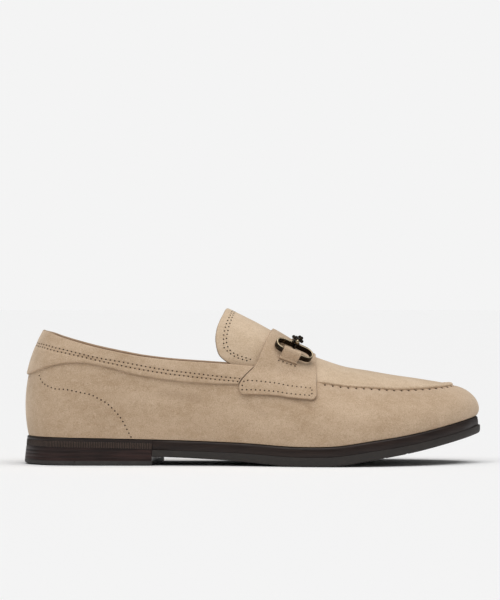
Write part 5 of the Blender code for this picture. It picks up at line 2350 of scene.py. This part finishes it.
        step = breast * LAST.length
        turns = np.linspace(0.0, math.pi, 420)
        shares = [s for s in share_of(turns) if abs(s * LAST.length - step) > 0.8 * MM]
        shares = np.array(sorted([*shares, (step - 0.1 * MM) / LAST.length, (step + 0.1 * MM) / LAST.length]))
        lean = askew * np.exp(-(((shares - breast) / 0.12) ** 2))
        lateral, medial = -turn_of(shares), turn_of(shares + lean)
        deep_side = np.where(shares < breast, self.seat, LAST.midsole + LAST.gap)

        levels = []
        for share, depth in MIDSOLE_PROFILE:
            height = level(lambda point: self.feather(point) - deep_side, self.feather, share)
            heel = self.flare * (1.0 - ease((shares - breast) / 0.06))
            toe = 0.9 * MM * ease((shares - 0.96) / 0.04) * (0.3 + 0.7 * share)
            inset = self.step * depth * (1.0 - 0.35 * heel / self.flare) + heel + toe
            levels.append((inset, inset, height))
        midsole = self.slab("midsole_leather", lateral, medial, levels)
        dress(midsole, self.finishes.midsole, Slot.EDGE, "midsole")

    def build_insole(self) -> None:
        """Builds the sock that covers the insole, dished at its edge."""
        turns = np.linspace(0.0, math.pi, 200)
        levels = []
        depth = LAST.feather_step * 1.7 + self.sock_inside
        for share, extra in ((0.0, 0.0), (0.6, 0.0), (0.9, 0.25), (1.0, 1.0), (0.97, 3.0)):
            inset = np.full_like(turns, depth + extra * MM)
            rise = self.sock_thick * share
            height = lambda point, rise=rise: self.feather(point) + self.sock_above + rise
            levels.append((inset, inset, height))
        sock = self.slab("insole_sock", -turns, turns, levels)
        dress(sock, self.finishes.lining, Slot.LINING, "insole")

    def build(self) -> None:
        """Builds every piece of the sole."""
        self.build_heel()
        self.build_forepart()
        self.build_insole()


# Studio
@dataclass
class Studio:
    """Pale floor, soft lights and the camera at the photograph's angle."""

    floor_size: float = 60.0
    fill: float = 0.24
    backdrop: float = 0.905

    def light(self, name: str, aside: float, above: float, spread: float, strength: float) -> None:
        """Soft light from far away.

        Args:
            name: name of the light.
            aside: direction it comes from, in degrees from +X towards +Y.
            above: its height over the floor, in degrees.
            spread: how wide it looks, in degrees.
            strength: its power on a face square to it.
        """
        deselect()
        bpy.ops.object.light_add(type="SUN", location=(0.0, 0.0, 2.0))
        lamp = bpy.context.object
        lamp.name = name
        lamp.data.angle = math.radians(spread)
        lamp.data.energy = strength
        lamp.rotation_euler = (0.0, math.radians(90.0 - above), math.radians(aside))

    def build(self) -> None:
        """Builds the studio."""
        deselect()
        bpy.ops.mesh.primitive_plane_add(size=self.floor_size, location=(0.0, 0.0, 0.0))
        floor = bpy.context.object
        floor.name = "floor"
        floor.data.materials.append(Plain("pale_floor", (250, 250, 250), 0.9, 0.0).material())
        self.light("light_top", -60.0, 80.0, 65.0, 2.14)
        self.light("light_heel", -130.0, 42.0, 20.0, 0.32)
        world = bpy.data.worlds.new("soft_world")
        world.use_nodes = True
        nodes, links = world.node_tree.nodes, world.node_tree.links
        path = nodes.new("ShaderNodeLightPath")
        strength = nodes.new("ShaderNodeMapRange")
        strength.inputs["To Min"].default_value = self.fill
        strength.inputs["To Max"].default_value = self.backdrop
        links.new(path.outputs["Is Camera Ray"], strength.inputs["Value"])
        nodes["Background"].inputs["Color"].default_value = (1.0, 1.0, 1.0, 1.0)
        links.new(strength.outputs["Result"], nodes["Background"].inputs["Strength"])
        bpy.context.scene.world = world
        bpy.context.scene.view_settings.view_transform = "Standard"
        bpy.ops.object.camera_add(location=VIEW.place, rotation=(math.pi / 2, 0.0, 0.0))
        camera = bpy.context.object
        camera.name = "camera"
        camera.data.sensor_width = VIEW.sensor
        camera.data.sensor_fit = "AUTO"
        camera.data.lens = VIEW.lens
        camera.data.dof.use_dof = False
        bpy.context.scene.camera = camera


def main() -> None:
    """Builds the shoe and its studio."""
    logging.basicConfig(level=logging.INFO, format="%(name)s %(message)s")
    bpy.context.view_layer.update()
    finishes = Finishes()
    stitching = Stitching(finishes)
    Studio().build()
    for part in (
        Sole(finishes),
        Upper(finishes),
        Collar(finishes, stitching),
        Tongue(finishes, stitching),
        Strap(finishes, stitching),
        Bit(finishes, stitching),
    ):
        part.build()
        LOG.info("%s done", type(part).__name__)
    deselect()


if __name__ == "__main__":
    main()
